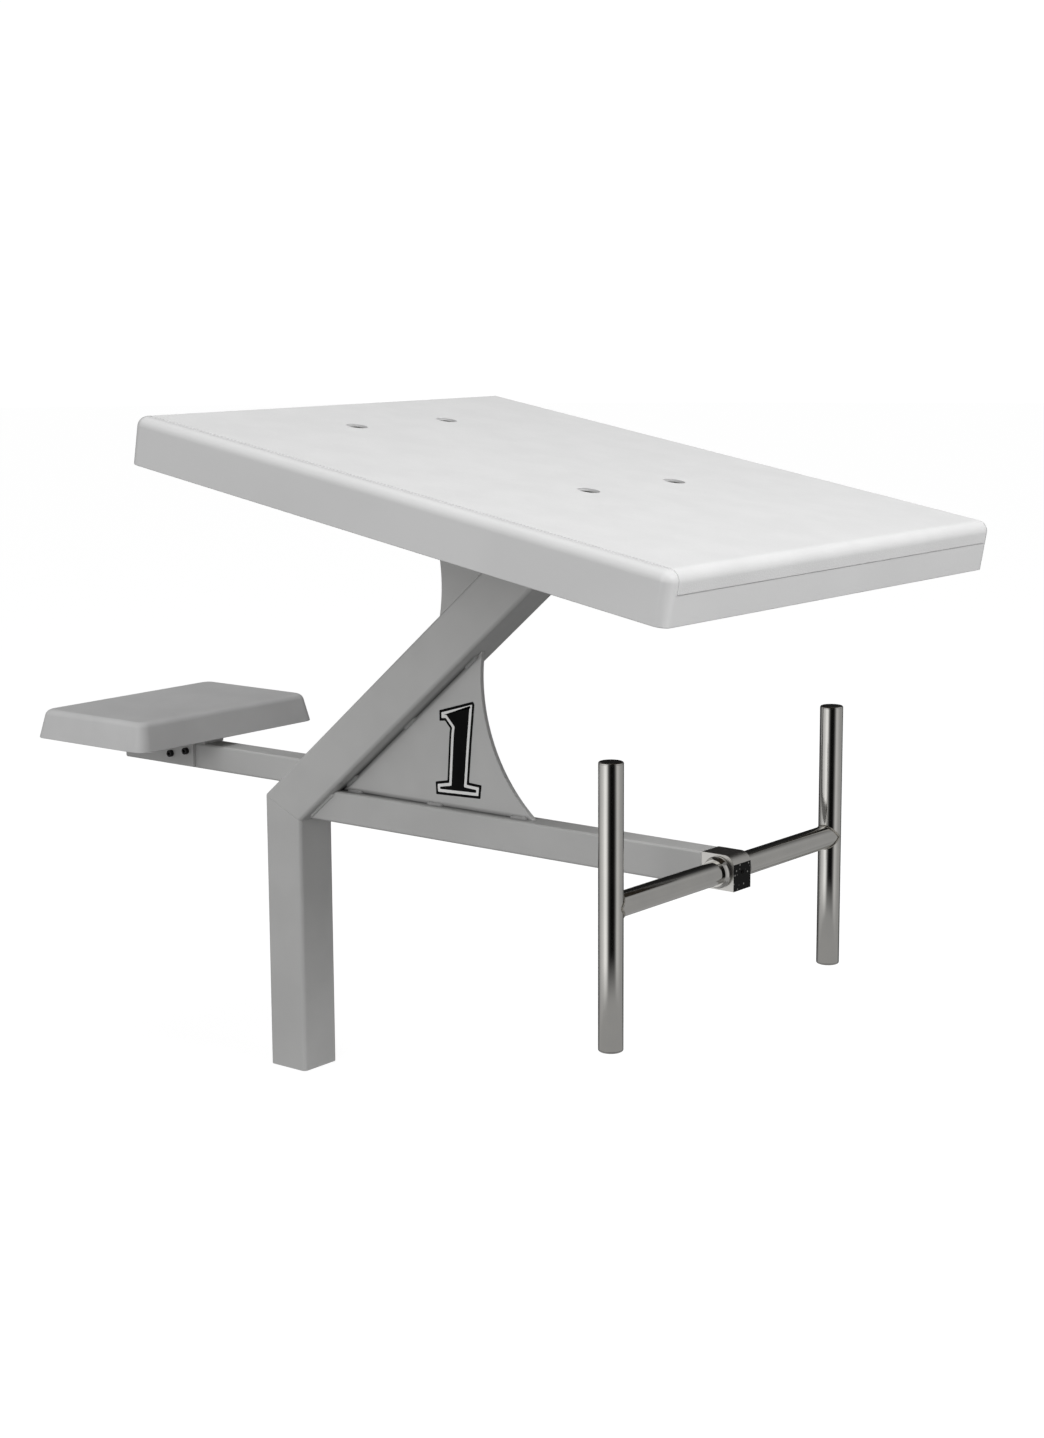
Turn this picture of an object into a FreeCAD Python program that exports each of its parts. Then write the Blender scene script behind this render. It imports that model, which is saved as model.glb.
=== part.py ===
import FreeCAD, Part
import os
import re
import Sketcher
from FreeCAD import Placement, Rotation, Vector

# Swimming starting platform on one cranked post, with a rear step and an H-shaped backstroke grip bar.
# Frame: +X forward over the water, +Y to the swimmer's left, +Z up, origin at the middle of the leg's foot.
# Millimetres and degrees throughout.

document = FreeCAD.newDocument("StartingPlatform")
sheet = document.addObject("Spreadsheet::Sheet", "Sizes")

sizes = {
    # cranked post: a square tube, mitred where it turns forward
    "post_size": 57.15, "post_wall": 3.2, "post_corner": 5.0,
    "crank_height": 323.5, "crank_rise": 40.65, "foot_cap": 5.0,
    # platform deck: where its rear lower edge is, and its own sizes
    "deck_rear_x": 50.8, "deck_rear_z": 752.7, "deck_tilt": 10.0,
    "deck_length": 711.0, "deck_width": 610.0, "deck_height": 54.0,
    "deck_corner": 14.0, "deck_edge": 12.5, "shell_wall": 5.0,
    "core_thickness": 17.0, "core_clearance": 0.5,
    "tread_thickness": 1.5, "tread_margin": 14.5, "tread_drop": 23.0,
    # mounting plate under the deck and the four bolts through it
    "plate_thickness": 6.0, "plate_width": 210.0, "plate_rear": 88.0, "plate_length": 382.0,
    "bolt_rear": 116.4, "bolt_pitch": 325.5, "bolt_spread": 153.6,
    "bolt_size": 10.0, "bolt_hole": 11.0, "bolt_head": 16.0, "bolt_head_height": 10.0,
    "bolt_socket": 8.0, "bolt_recess": 24.0, "bolt_recess_depth": 14.0, "bolt_tail": 5.0,
    "washer_size": 20.0, "washer_thickness": 2.0, "nut_flats": 17.0, "nut_height": 8.0,
    # front arm and rear arm
    "arm_height": 38.1, "arm_width": 31.75, "arm_wall": 3.0, "arm_corner": 3.0, "arm_rise": 8.0,
    "arm_end": 598.0, "rear_arm_size": 31.75, "rear_arm_rise": 28.0, "rear_arm_end": -285.0,
    "plug_thickness": 4.0,
    # web plates between post, arm and deck plate
    "web_thickness": 6.0, "web_radius": 196.0, "web_centre_x": 484.2, "web_centre_rise": 181.5,
    "web_top_lap": 7.0, "upper_web_centre_x": 36.0, "upper_web_drop": 147.7, "upper_web_foot": 200.0,
    "weld_leg": 4.5, "stitch_length": 24.0, "stitch_end": 9.0,
    # lane number plate
    "numeral_width": 68.0, "numeral_height": 113.0, "numeral_x": 254.5, "numeral_rise": 96.5,
    "numeral_thickness": 0.6,
    # rear step
    "step_rear": -303.0, "step_length": 192.0, "step_width": 298.0, "step_height": 35.0,
    "step_rise": 10.75, "step_draft": 8.0, "step_wall": 5.0, "step_corner": 14.0, "step_edge": 9.0,
    "step_core": 12.0, "step_core_gap": 2.5,
    "bracket_thickness": 4.0, "bracket_length": 130.0, "bracket_width": 180.0,
    "cheek_rear": -211.0, "cheek_length": 52.0, "cheek_drop": 30.0,
    "cheek_bolt_rear": -197.5, "cheek_bolt_pitch": 27.0, "cheek_bolt_drop": 16.75, "cheek_bolt_step": 6.0,
    "cheek_bolt_size": 5.0, "cheek_bolt_head": 8.5, "cheek_bolt_head_height": 5.0, "cheek_bolt_socket": 4.0,
    "cheek_bolt_tail": 8.0, "cheek_nut_flats": 8.0, "cheek_nut_height": 4.7,
    "step_screw_size": 5.0, "step_screw_head": 9.0, "step_screw_head_height": 3.0, "step_screw_length": 12.0,
    # clearances: holes for screws, washers, screw tips in blind holes, and parts that only just clear
    "screw_clearance": 0.25, "washer_clearance": 0.3, "tip_clearance": 0.2, "close_gap": 0.05,
    # backstroke grip bar
    "bar_x": 619.2, "bar_size": 25.4, "bar_wall": 2.0, "bar_fit": 0.06,
    "grip_spacing": 411.0, "grip_length": 290.0, "bar_weld": 3.0,
    "grip_cap": 2.2, "grip_cap_round": 1.8, "grip_cap_plug": 8.8, "grip_cap_clearance": 0.1,
    "collar_size": 34.0, "collar_width": 9.0, "collar_flange": 3.6, "collar_lip": 2.2, "collar_play": 0.3,
    # clamp block on the end of the front arm
    "block_front": 638.5, "block_round": 12.0, "spigot_length": 45.0, "spigot_clearance": 0.3,
    "grub_size": 5.0, "grub_length": 5.0, "spigot_screw_size": 5.0, "spigot_screw_head": 9.0,
    "spigot_screw_inset": 11.25,
}
for row, (alias, number) in enumerate(sizes.items(), start=1):
    cell = f"B{row}"
    sheet.set(f"A{row}", alias)
    sheet.set(cell, str(number))
    sheet.setAlias(cell, alias)
document.recompute()

aliasPattern = re.compile(r"\b(" + "|".join(sorted(sizes, key=len, reverse=True)) + r")\b")
planes = {"XY": "XY_Plane", "XZ": "XZ_Plane", "YZ": "YZ_Plane"}
nodes = []


def expand(text):
    """An expression on the sheet's own names, as the document wants it."""
    return aliasPattern.sub(r"Sizes.\1", str(text))


def number(text):
    return float(sheet.evalExpression(expand(text)))


def bind(target, **properties):
    for name, text in properties.items():
        target.setExpression(name, expand(text))
    return target


def place(target, x="0", y="0", z="0", axis=None, angle="0"):
    """Puts an object at a place and turn that are both worked out from the sheet."""
    if axis:
        target.Placement = Placement(Vector(), Rotation(Vector(*axis), number(angle)))
        target.setExpression("Placement.Rotation.Angle", f"({expand(angle)}) * 1 deg")
    for key, text in (("x", x), ("y", y), ("z", z)):
        target.setExpression(f"Placement.Base.{key}", expand(text))
    return target


def node(target, label):
    target.Label = label
    nodes.append(target)
    return target


def newBody(name):
    return document.addObject("PartDesign::Body", name)


def newSketch(body, plane, name):
    sketch = body.newObject("Sketcher::SketchObject", name)
    origin = next(part for part in body.Origin.OriginFeatures if part.Role == planes[plane])
    sketch.AttachmentSupport = [(origin, "")]
    sketch.MapMode = "FlatFace"
    return sketch


def pinPoint(sketch, geometry, end, x, y):
    """Ties one point of a sketch to two expressions, measured from the sketch's origin."""
    for kind, text, axisLine in (("DistanceX", x, -2), ("DistanceY", y, -1)):
        if abs(number(text)) < 1e-9:
            sketch.addConstraint(Sketcher.Constraint("PointOnObject", geometry, end, axisLine))
            continue
        index = sketch.addConstraint(Sketcher.Constraint(kind, -1, 1, geometry, end, number(text)))
        sketch.setExpression(f"Constraints[{index}]", expand(text))


def polygon(sketch, points):
    """A closed outline of straight lines; each corner is a pair of expressions."""
    corners = [Vector(number(x), number(y), 0) for x, y in points]
    first = sketch.GeometryCount
    for start, finish in zip(corners, corners[1:] + corners[:1]):
        sketch.addGeometry(Part.LineSegment(start, finish), False)
    count = len(points)
    for index in range(count):
        following = first + (index + 1) % count
        sketch.addConstraint(Sketcher.Constraint("Coincident", first + index, 2, following, 1))
    for index, (x, y) in enumerate(points):
        pinPoint(sketch, first + index, 1, x, y)


def rectangle(sketch, left, right, low, high):
    polygon(sketch, [(left, low), (right, low), (right, high), (left, high)])


def circle(sketch, x, y, radius):
    index = sketch.GeometryCount
    ring = Part.Circle(Vector(number(x), number(y), 0), Vector(0, 0, 1), number(radius))
    sketch.addGeometry(ring, False)
    pinPoint(sketch, index, 3, x, y)
    radial = sketch.addConstraint(Sketcher.Constraint("Radius", index, number(radius)))
    sketch.setExpression(f"Constraints[{radial}]", expand(radius))


def pad(body, sketch, length, midplane=False, reverse=False):
    feature = body.newObject("PartDesign::Pad", f"{sketch.Name}Pad")
    feature.Profile = sketch
    feature.Midplane = midplane
    feature.Reversed = reverse
    bind(feature, Length=length)
    document.recompute()
    return feature


def pocket(body, sketch, length, midplane=False, reverse=False):
    """Cuts, and proves by volume that it did cut."""
    before = body.Shape.Volume
    feature = body.newObject("PartDesign::Pocket", f"{sketch.Name}Pocket")
    feature.Profile = sketch
    feature.Midplane = midplane
    feature.Reversed = reverse
    bind(feature, Length=length)
    document.recompute()
    if not feature.Shape.Volume < before - 1e-3:
        raise RuntimeError(f"{feature.Name} removed nothing")
    return feature


def fillet(body, base, radius, wanted, kind="PartDesign::Fillet", size="Radius"):
    """Rounds the edges of base for which wanted(edge) is true."""
    names = [f"Edge{i}" for i, edge in enumerate(base.Shape.Edges, start=1) if wanted(edge)]
    feature = body.newObject(kind, f"{base.Name}Round")
    feature.Base = (base, names)
    bind(feature, **{size: radius})
    document.recompute()
    return feature


def along(direction):
    """True for straight edges that run along a direction."""
    unit = Vector(*direction).normalize()

    def test(edge):
        if edge.Curve.TypeId != "Part::GeomLine":
            return False
        return abs(edge.Curve.Direction.dot(unit)) > 0.9999
    return test


def atHeight(height):
    """True for edges that lie level at one height."""
    return lambda edge: all(abs(vertex.Point.z - height) < 1e-6 for vertex in edge.Vertexes)


def revolve(body, sketch, axis):
    feature = body.newObject("PartDesign::Revolution", f"{sketch.Name}Turn")
    feature.Profile = sketch
    feature.ReferenceAxis = (sketch, [axis])
    feature.Angle = 360.0
    document.recompute()
    return feature


def cylinder(name, radius, length, **where):
    return place(bind(document.addObject("Part::Cylinder", name), Radius=radius, Height=length), **where)


def block(name, length, width, height, **where):
    solid = bind(document.addObject("Part::Box", name), Length=length, Width=width, Height=height)
    return place(solid, **where)


def hexagon(name, flats, height, **where):
    prism = document.addObject("Part::Prism", name)
    prism.Polygon = 6
    return place(bind(prism, Circumradius=f"{flats} / 2 / cos(30)", Height=height), **where)


def cut(name, base, *tools):
    """Takes each tool away in turn."""
    result = base
    for index, tool in enumerate(tools):
        step = document.addObject("Part::Cut", name if index == len(tools) - 1 else f"{name}{index}")
        step.Base = result
        step.Tool = tool
        result = step
    return result


def fuse(name, *solids):
    result = document.addObject("Part::MultiFuse", name)
    result.Shapes = list(solids)
    return result


def group(name, solids):
    result = document.addObject("Part::Compound", name)
    result.Links = list(solids)
    return result


def copies(name, master, places, axis=None, angle="0"):
    """Identical pieces, one link to the master for each place."""
    links = []
    for index, (x, y, z) in enumerate(places):
        link = document.addObject("App::Link", f"{name}Link{index}")
        link.LinkedObject = master
        links.append(place(link, x=x, y=y, z=z, axis=axis, angle=angle))
    return group(name, links)


def onDeck(target):
    """Puts a piece that is drawn flat, in the deck's own frame, on the sloping deck."""
    return place(target, x="deck_rear_x", z="deck_rear_z", axis=(0, 1, 0), angle="deck_tilt")


# ---------------------------------------------------------------- outlines that several pieces share
half = "post_size / 2"
mitre = "(90 - crank_rise) / 2"
plateUnder = "(deck_height - shell_wall - core_thickness - plate_thickness)"
deckReach = f"(deck_rear_x * sin(deck_tilt) + deck_rear_z * cos(deck_tilt) + {plateUnder})"


def crank(side):
    """The mitre's corner on a line at a signed distance in front of the leg's centre line."""
    return side, f"crank_height - ({side}) * tan({mitre})"


def upSlope(side):
    """Where a line of the sloping tube meets the underside of the mounting plate."""
    x, z = crank(side)
    run = f"(({deckReach}) - ({x}) * sin(deck_tilt) - ({z}) * cos(deck_tilt)) / sin(deck_tilt + crank_rise)"
    return f"({x}) + ({run}) * cos(crank_rise)", f"({z}) + ({run}) * sin(crank_rise)"


def slopeAt(side, x):
    """Height of a line of the sloping tube above a given X."""
    startX, startZ = crank(side)
    return f"({startZ}) + (({x}) - ({startX})) * tan(crank_rise)"


def tubeBetween(name, outer, inner, direction):
    """A mitred tube: its side outline padded across, its long edges rounded, and its core cut out."""
    body = newBody(name)
    profile = newSketch(body, "XZ", f"{name}Outline")
    polygon(profile, outer)
    solid = pad(body, profile, "post_size", midplane=True)
    fillet(body, solid, "post_corner", along(direction))
    hollow = newSketch(body, "XZ", f"{name}Hollow")
    polygon(hollow, inner)
    pocket(body, hollow, "post_size - 2 * post_wall", midplane=True)
    return body


# ---------------------------------------------------------------- cranked post
bore = "(post_size / 2 - post_wall)"
legOuter = [(f"-{half}", "0"), (half, "0"), crank(half), crank(f"-{half}")]
legInner = [(f"-{bore}", "0"), (bore, "0"), crank(bore), crank(f"-{bore}")]
node(tubeBetween("Leg", legOuter, legInner, (0, 0, 1)), "leg_post")

slopeOuter = [crank(half), upSlope(half), upSlope(f"-{half}"), crank(f"-{half}")]
slopeInner = [crank(bore), upSlope(bore), upSlope(f"-{bore}"), crank(f"-{bore}")]
riseVector = Rotation(Vector(0, -1, 0), number("crank_rise")).multVec(Vector(1, 0, 0))
node(tubeBetween("Slope", slopeOuter, slopeInner, riseVector), "sloping_post")

capSide = "(post_size - 2 * post_wall)"
node(block("FootCap", capSide, capSide, "foot_cap", x=f"-{capSide} / 2", y=f"-{capSide} / 2"), "leg_foot_cap")

# ---------------------------------------------------------------- arms, coped to the post they are welded to
postOutline = [(f"-{half}", "0"), (half, "0"), crank(half), upSlope(half),
               upSlope(f"-{half}"), crank(f"-{half}")]


def armTube(name, rear, front, low, high):
    body = newBody(name)
    profile = newSketch(body, "XZ", f"{name}Outline")
    rectangle(profile, rear, front, low, high)
    solid = pad(body, profile, "arm_width", midplane=True)
    fillet(body, solid, "arm_corner", along((1, 0, 0)))
    hollow = newSketch(body, "YZ", f"{name}Hollow")
    inside = "(arm_width / 2 - arm_wall)"
    rectangle(hollow, f"-{inside}", inside, f"({low}) + arm_wall", f"({high}) - arm_wall")
    pocket(body, hollow, "2 * (arm_end - rear_arm_end)", midplane=True)
    cope = newSketch(body, "XZ", f"{name}Cope")
    polygon(cope, postOutline)
    pocket(body, cope, "2 * post_size", midplane=True)
    return body


armAxis = "(crank_height + arm_rise)"
armLow = f"({armAxis} - arm_height / 2)"
armHigh = f"({armAxis} + arm_height / 2)"
rearArmLow = "(crank_height + rear_arm_rise)"
rearArmHigh = f"({rearArmLow} + rear_arm_size)"
cheekBolts = [(f"cheek_bolt_rear + {i} * cheek_bolt_pitch",
               f"{rearArmHigh} - cheek_bolt_drop + {i} * cheek_bolt_step") for i in (0, 1)]
spigotScrews = ["arm_end - spigot_screw_inset", "arm_end - spigot_length + spigot_screw_inset"]
frontArm = armTube("FrontArm", "0", "arm_end", armLow, armHigh)
spigotHoles = newSketch(frontArm, "XY", "SpigotScrewHoles")
for x in spigotScrews:
    circle(spigotHoles, x, "0", "spigot_screw_size / 2")
pocket(frontArm, spigotHoles, armAxis, reverse=True)
node(frontArm, "front_arm")
rearArm = armTube("RearArm", "rear_arm_end", half, rearArmLow, rearArmHigh)
boltHoles = newSketch(rearArm, "XZ", "BracketBoltHoles")
for x, z in cheekBolts:
    circle(boltHoles, x, z, "cheek_bolt_size / 2 + screw_clearance")
pocket(rearArm, boltHoles, "2 * arm_width", midplane=True)
node(rearArm, "rear_arm")

plugWide = "(arm_width - 2 * arm_wall)"
plugTall = "(rear_arm_size - 2 * arm_wall)"
rearPlug = block("RearPlug", "plug_thickness", plugWide, plugTall,
                 x="rear_arm_end", y=f"-{plugWide} / 2", z=f"{rearArmLow} + arm_wall")
node(rearPlug, "rear_arm_plug")

# ---------------------------------------------------------------- mounting plate and web plates
plateBody = newBody("MountingPlate")
plateSketch = newSketch(plateBody, "XY", "PlateOutline")
rectangle(plateSketch, "plate_rear", "plate_rear + plate_length", "-plate_width / 2", "plate_width / 2")
platePad = pad(plateBody, plateSketch, "plate_thickness")
fillet(plateBody, platePad, "deck_corner / 2", along((0, 0, 1)))
plateHoles = newSketch(plateBody, "XY", "PlateHoles")
boltPlaces = [(f"bolt_rear + {i} * bolt_pitch", f"{side} * bolt_spread / 2")
              for i in (0, 1) for side in (-1, 1)]
for x, y in boltPlaces:
    circle(plateHoles, x, y, "bolt_hole / 2")
pocket(plateBody, plateHoles, "2 * plate_thickness", reverse=True)
lift = f"{plateUnder} * sin(deck_tilt)", f"{plateUnder} * cos(deck_tilt)"
node(place(plateBody, x=f"deck_rear_x + {lift[0]}", z=f"deck_rear_z + {lift[1]}",
           axis=(0, 1, 0), angle="deck_tilt"), "mounting_plate")


def web(name, outline, centreX, centreZ):
    """A flat plate on the centre plane with one concave round edge."""
    body = newBody(name)
    profile = newSketch(body, "XZ", f"{name}Outline")
    polygon(profile, outline)
    pad(body, profile, "web_thickness", midplane=True)
    scoop = newSketch(body, "XZ", f"{name}Scoop")
    circle(scoop, centreX, centreZ, "web_radius")
    pocket(body, scoop, "2 * web_thickness", midplane=True)
    return body


def onDeckUnderside(u):
    """A point of the mounting plate's underside, a distance u along the deck from its rear edge."""
    return (f"deck_rear_x + {lift[0]} + ({u}) * cos(deck_tilt)",
            f"deck_rear_z + {lift[1]} - ({u}) * sin(deck_tilt)")


crankX, crankZ = crank(half)
webRootX = f"({half} + ({armHigh} - ({crankZ})) / tan(crank_rise))"
webCentreZ = "(crank_height + web_centre_rise)"
webTipX = f"(web_centre_x - sqrt(web_radius ^ 2 - ({webCentreZ} - {armHigh}) ^ 2))"
webTopX = "(web_centre_x - web_radius + web_top_lap)"
frontWeb = web("FrontWeb", [(webRootX, armHigh), (f"{webTipX} + web_thickness", armHigh),
                            (f"{webTipX} + web_thickness", slopeAt(half, webTopX)),
                            (webTopX, slopeAt(half, webTopX))], "web_centre_x", webCentreZ)
node(frontWeb, "front_web_plate")
upperWeb = web("UpperWeb", [("upper_web_foot", slopeAt(f"-{half}", "upper_web_foot")),
                            upSlope(f"-{half}"), onDeckUnderside("plate_rear + web_thickness")],
               "upper_web_centre_x", "deck_rear_z - upper_web_drop")
node(upperWeb, "upper_web_plate")


# ---------------------------------------------------------------- weld beads
def bead(name, x, y, z, length, rise, side, up):
    """A fillet weld, three-cornered in section; side and up say which corner of the joint it fills."""
    body = newBody(name)
    section = newSketch(body, "YZ", f"{name}Section")
    polygon(section, [("0", "0"), (f"{side} * weld_leg", "0"), ("0", f"{up} * weld_leg")])
    pad(body, section, length)
    return place(body, x=x, y=f"{side} * ({y})", z=z, axis=(0, -1, 0), angle=rise)


def stitchRow(name, start, finish, height, rise, up, count):
    """Evenly spaced stitches on both faces of a web plate, between two X positions."""
    gap = f"(({finish}) - ({start}) - stitch_length * cos({rise}) - 2 * stitch_end) / {count - 1}"
    beads = []
    for index in range(count):
        x = f"({start}) + stitch_end + {index} * {gap}"
        for side in (-1, 1):
            beads.append(bead(f"{name}{index}{'RL'[side > 0]}", x, "web_thickness / 2", height(x),
                              "stitch_length", rise, side, up))
    return beads


stitches = stitchRow("ArmStitch", webRootX, webTipX, lambda x: armHigh, "0", 1, 3)
webTopReal = "(web_centre_x - web_radius)"
stitches += stitchRow("SlopeStitch", webRootX, webTopReal, lambda x: slopeAt(half, x), "crank_rise", -1, 3)
node(group("FrontWebWelds", stitches), "front_web_welds")

upperWebFoot = "(upper_web_centre_x + web_radius)"
upperWebTop = upSlope(f"-{half}")[0]
upperStitches = stitchRow("UpperStitch", upperWebFoot, upperWebTop, lambda x: slopeAt(f"-{half}", x),
                          "crank_rise", 1, 3)
node(group("UpperWebWelds", upperStitches), "upper_web_welds")

armWelds = []
rearArmWelds = []
postWelds = []
topStart = upSlope(f"-{half}")
topLength = f"(({upSlope(half)[0]}) - ({topStart[0]})) / cos(deck_tilt)"
armWeldLow = f"max({armLow}; {crankZ})"
armRootX = f"({half} + ({armWeldLow} - ({crankZ})) / tan(crank_rise))"
rearCrank = crank(f"-{half}")
rearWeldLow = f"max({rearArmLow}; {rearCrank[1]})"
rearRootX = f"(-{half} + ({rearWeldLow} - ({rearCrank[1]})) / tan(crank_rise))"
for side in (-1, 1):
    hand = "RL"[side > 0]
    armWelds.append(bead(f"ArmWeld{hand}", armRootX, "arm_width / 2", armWeldLow,
                         f"({armHigh} - {armWeldLow}) / sin(crank_rise)", "crank_rise", side, -1))
    rearArmWelds.append(bead(f"RearArmWeld{hand}", rearRootX, "arm_width / 2", rearWeldLow,
                             f"({rearArmHigh} - {rearWeldLow}) / sin(crank_rise)", "crank_rise", side, 1))
    postWelds.append(bead(f"PostWeld{hand}", topStart[0], half, topStart[1], topLength, "-deck_tilt", side, -1))
node(group("FrontArmWelds", armWelds), "front_arm_welds")
node(group("RearArmWelds", rearArmWelds), "rear_arm_welds")
node(group("PostTopWelds", postWelds), "mounting_plate_welds")

# ---------------------------------------------------------------- deck: shell, core and tread
def roundedSlab(name, grow):
    """The deck's outside, drawn in by grow on every side: a slab with round corners and a round top edge."""
    body = newBody(name)
    outline = newSketch(body, "XY", f"{name}Outline")
    rectangle(outline, grow, f"deck_length - {grow}", f"{grow} - deck_width / 2", f"deck_width / 2 - {grow}")
    solid = pad(body, outline, f"deck_height - {grow}")
    corners = fillet(body, solid, f"deck_corner - {grow}", along((0, 0, 1)))
    top = number("deck_height") - number(grow)
    fillet(body, corners, f"deck_edge - {grow}", atHeight(top))
    return body


def treadSkin(name):
    """The outermost layer of the slab over its top and a little way down its front edge."""
    skin = cut(f"{name}Skin", roundedSlab(f"{name}Outer", "0"), roundedSlab(f"{name}Inner", "tread_thickness"))
    zone = block(f"{name}Zone", "deck_length", "deck_width - 2 * tread_margin", "tread_drop",
                 x="tread_margin", y="tread_margin - deck_width / 2", z="deck_height - tread_drop")
    layer = document.addObject("Part::Common", f"{name}Layer")
    layer.Base = skin
    layer.Tool = zone
    return layer


def boltCylinders(name, radius):
    return group(name, [cylinder(f"{name}{i}", radius, "2 * deck_height", x=x, y=y)
                        for i, (x, y) in enumerate(boltPlaces)])


node(onDeck(cut("Tread", treadSkin("Tread"), boltCylinders("TreadHole", "bolt_recess / 2"))), "tread_skin")
node(onDeck(cut("Shell", roundedSlab("ShellOuter", "0"), roundedSlab("ShellInner", "shell_wall"),
                treadSkin("Rebate"), boltCylinders("ShellHole", "bolt_recess / 2"))), "platform_shell")


def upFromDeck(target, lift):
    """As onDeck, but raised a distance square to the deck."""
    return place(target, x=f"deck_rear_x + ({lift}) * sin(deck_tilt)",
                 z=f"deck_rear_z + ({lift}) * cos(deck_tilt)", axis=(0, 1, 0), angle="deck_tilt")


coreBody = newBody("Core")
coreOutline = newSketch(coreBody, "XY", "CoreOutline")
coreEdge = "(deck_edge + core_clearance)"
rectangle(coreOutline, coreEdge, f"deck_length - {coreEdge}", f"{coreEdge} - deck_width / 2",
          f"deck_width / 2 - {coreEdge}")
pad(coreBody, coreOutline, "core_thickness")
boreLeft = "(core_thickness + shell_wall - bolt_recess_depth)"
coreTop = newSketch(coreBody, "XY", "CoreRecess")
coreThrough = newSketch(coreBody, "XY", "CoreHoles")
for x, y in boltPlaces:
    circle(coreThrough, x, y, "bolt_hole / 2")
    circle(coreTop, x, y, "bolt_recess / 2")
pocket(coreBody, coreThrough, "2 * core_thickness", reverse=True)
coreTop.AttachmentOffset = Placement(Vector(0, 0, number(boreLeft)), Rotation())
coreTop.setExpression("AttachmentOffset.Base.z", expand(boreLeft))
pocket(coreBody, coreTop, "core_thickness", reverse=True)
coreBottom = "(deck_height - shell_wall - core_thickness)"
node(upFromDeck(coreBody, coreBottom), "deck_core_board")

# ---------------------------------------------------------------- the four bolts that hold the deck
seat = f"({coreBottom} + {boreLeft})"
shankLength = f"({seat} - {plateUnder} + 2 * washer_thickness + nut_height + bolt_tail)"
deckBolt = cut("DeckBoltMaster",
               fuse("DeckBoltBlank", cylinder("DeckBoltHead", "bolt_head / 2", "bolt_head_height"),
                    cylinder("DeckBoltShank", "bolt_size / 2", shankLength, z=f"-{shankLength}")),
               hexagon("DeckBoltSocket", "bolt_socket", "bolt_head_height", z="bolt_head_height / 2"))
ring = cut("WasherMaster", cylinder("WasherDisc", "washer_size / 2", "washer_thickness"),
           cylinder("WasherBore", "bolt_size / 2 + washer_clearance", "washer_thickness"))
nut = cut("NutMaster", hexagon("NutBlank", "nut_flats", "nut_height"),
          cylinder("NutBore", "bolt_size / 2 + close_gap", "nut_height"))


def atBolts(height):
    return [(x, y, height) for x, y in boltPlaces]


node(onDeck(copies("DeckBolts", deckBolt, atBolts(f"{seat} + washer_thickness"))), "deck_bolts")
node(onDeck(copies("HeadWashers", ring, atBolts(seat))), "deck_bolt_head_washers")
node(onDeck(copies("NutWashers", ring, atBolts(f"{plateUnder} - washer_thickness"))), "deck_bolt_nut_washers")
node(onDeck(copies("DeckNuts", nut, atBolts(f"{plateUnder} - washer_thickness - nut_height"))), "deck_bolt_nuts")

# ---------------------------------------------------------------- lane number on the right of the front web
numeralBody = newBody("Numeral")
numeralSketch = newSketch(numeralBody, "XZ", "NumeralOutline")
numeralShares = [(-0.49, -0.50), (0.47, -0.48), (0.50, -0.34), (0.23, -0.33), (0.29, 0.07), (0.36, 0.47),
                 (0.33, 0.50), (-0.40, 0.37), (-0.40, 0.26), (-0.28, 0.27), (-0.17, 0.20), (-0.185, 0.15),
                 (-0.24, -0.34), (-0.50, -0.37)]
polygon(numeralSketch, [(f"numeral_x + numeral_width * {x}",
                         f"crank_height + numeral_rise + numeral_height * {z}") for x, z in numeralShares])
pad(numeralBody, numeralSketch, "numeral_thickness")
node(place(numeralBody, y="-web_thickness / 2"), "lane_number_decal")

# ---------------------------------------------------------------- rear step
stepFront = "(step_rear + step_length)"
draftAngle = "atan(step_draft / step_height)"


def taperedSlab(name, inset, height, corner, edge):
    """A block with drafted sides, round corners and a round top edge."""
    body = newBody(name)
    outline = newSketch(body, "XY", f"{name}Outline")
    rectangle(outline, f"step_rear + {inset}", f"{stepFront} - {inset}", f"{inset} - step_width / 2",
              f"step_width / 2 - {inset}")
    solid = pad(body, outline, height)
    solid.TaperAngle = -number(draftAngle)
    solid.setExpression("TaperAngle", f"-{expand(draftAngle)}")
    document.recompute()
    corners = fillet(body, solid, corner,
                     lambda side: abs(side.Vertexes[0].Point.z - side.Vertexes[-1].Point.z) > 1)
    top = number(height)
    fillet(body, corners, edge, atHeight(top))
    return body


stepOuter = taperedSlab("StepOuter", "0", "step_height", "step_corner", "step_edge")
stepInner = taperedSlab("StepInner", "step_wall", "step_height - step_wall", "step_corner - step_wall",
                        "step_edge - step_wall")
stepBottom = f"({rearArmHigh} + step_rise)"
node(place(cut("StepShell", stepOuter, stepInner), z=stepBottom), "step_shell")

coreInset = "(step_draft + step_wall + step_core_gap)"
stepCoreLow = f"({stepBottom} + step_height - step_wall - step_core)"
stepCore = block("StepCoreBoard", f"step_length - 2 * {coreInset}", f"step_width - 2 * {coreInset}",
                 "step_core - core_clearance", x=f"step_rear + {coreInset}", y=f"{coreInset} - step_width / 2",
                 z=stepCoreLow)
stepMiddle = "(step_rear + step_length / 2)"
screwReachX = "(bracket_length / 2 - 2 * step_screw_head)"
screwReachY = "(bracket_width / 2 - 2 * step_screw_head)"
screwPlaces = [(f"{stepMiddle} + {a} * {screwReachX}", f"{b} * {screwReachY}")
               for a in (-1, 1) for b in (-1, 1)]
screwDepth = "(step_screw_length - bracket_thickness)"
pilots = group("StepPilots", [cylinder(f"StepPilot{i}", "step_screw_size / 2", screwDepth,
                                       x=x, y=y, z=stepCoreLow) for i, (x, y) in enumerate(screwPlaces)])
node(cut("StepCore", stepCore, pilots), "step_core_board")

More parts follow.
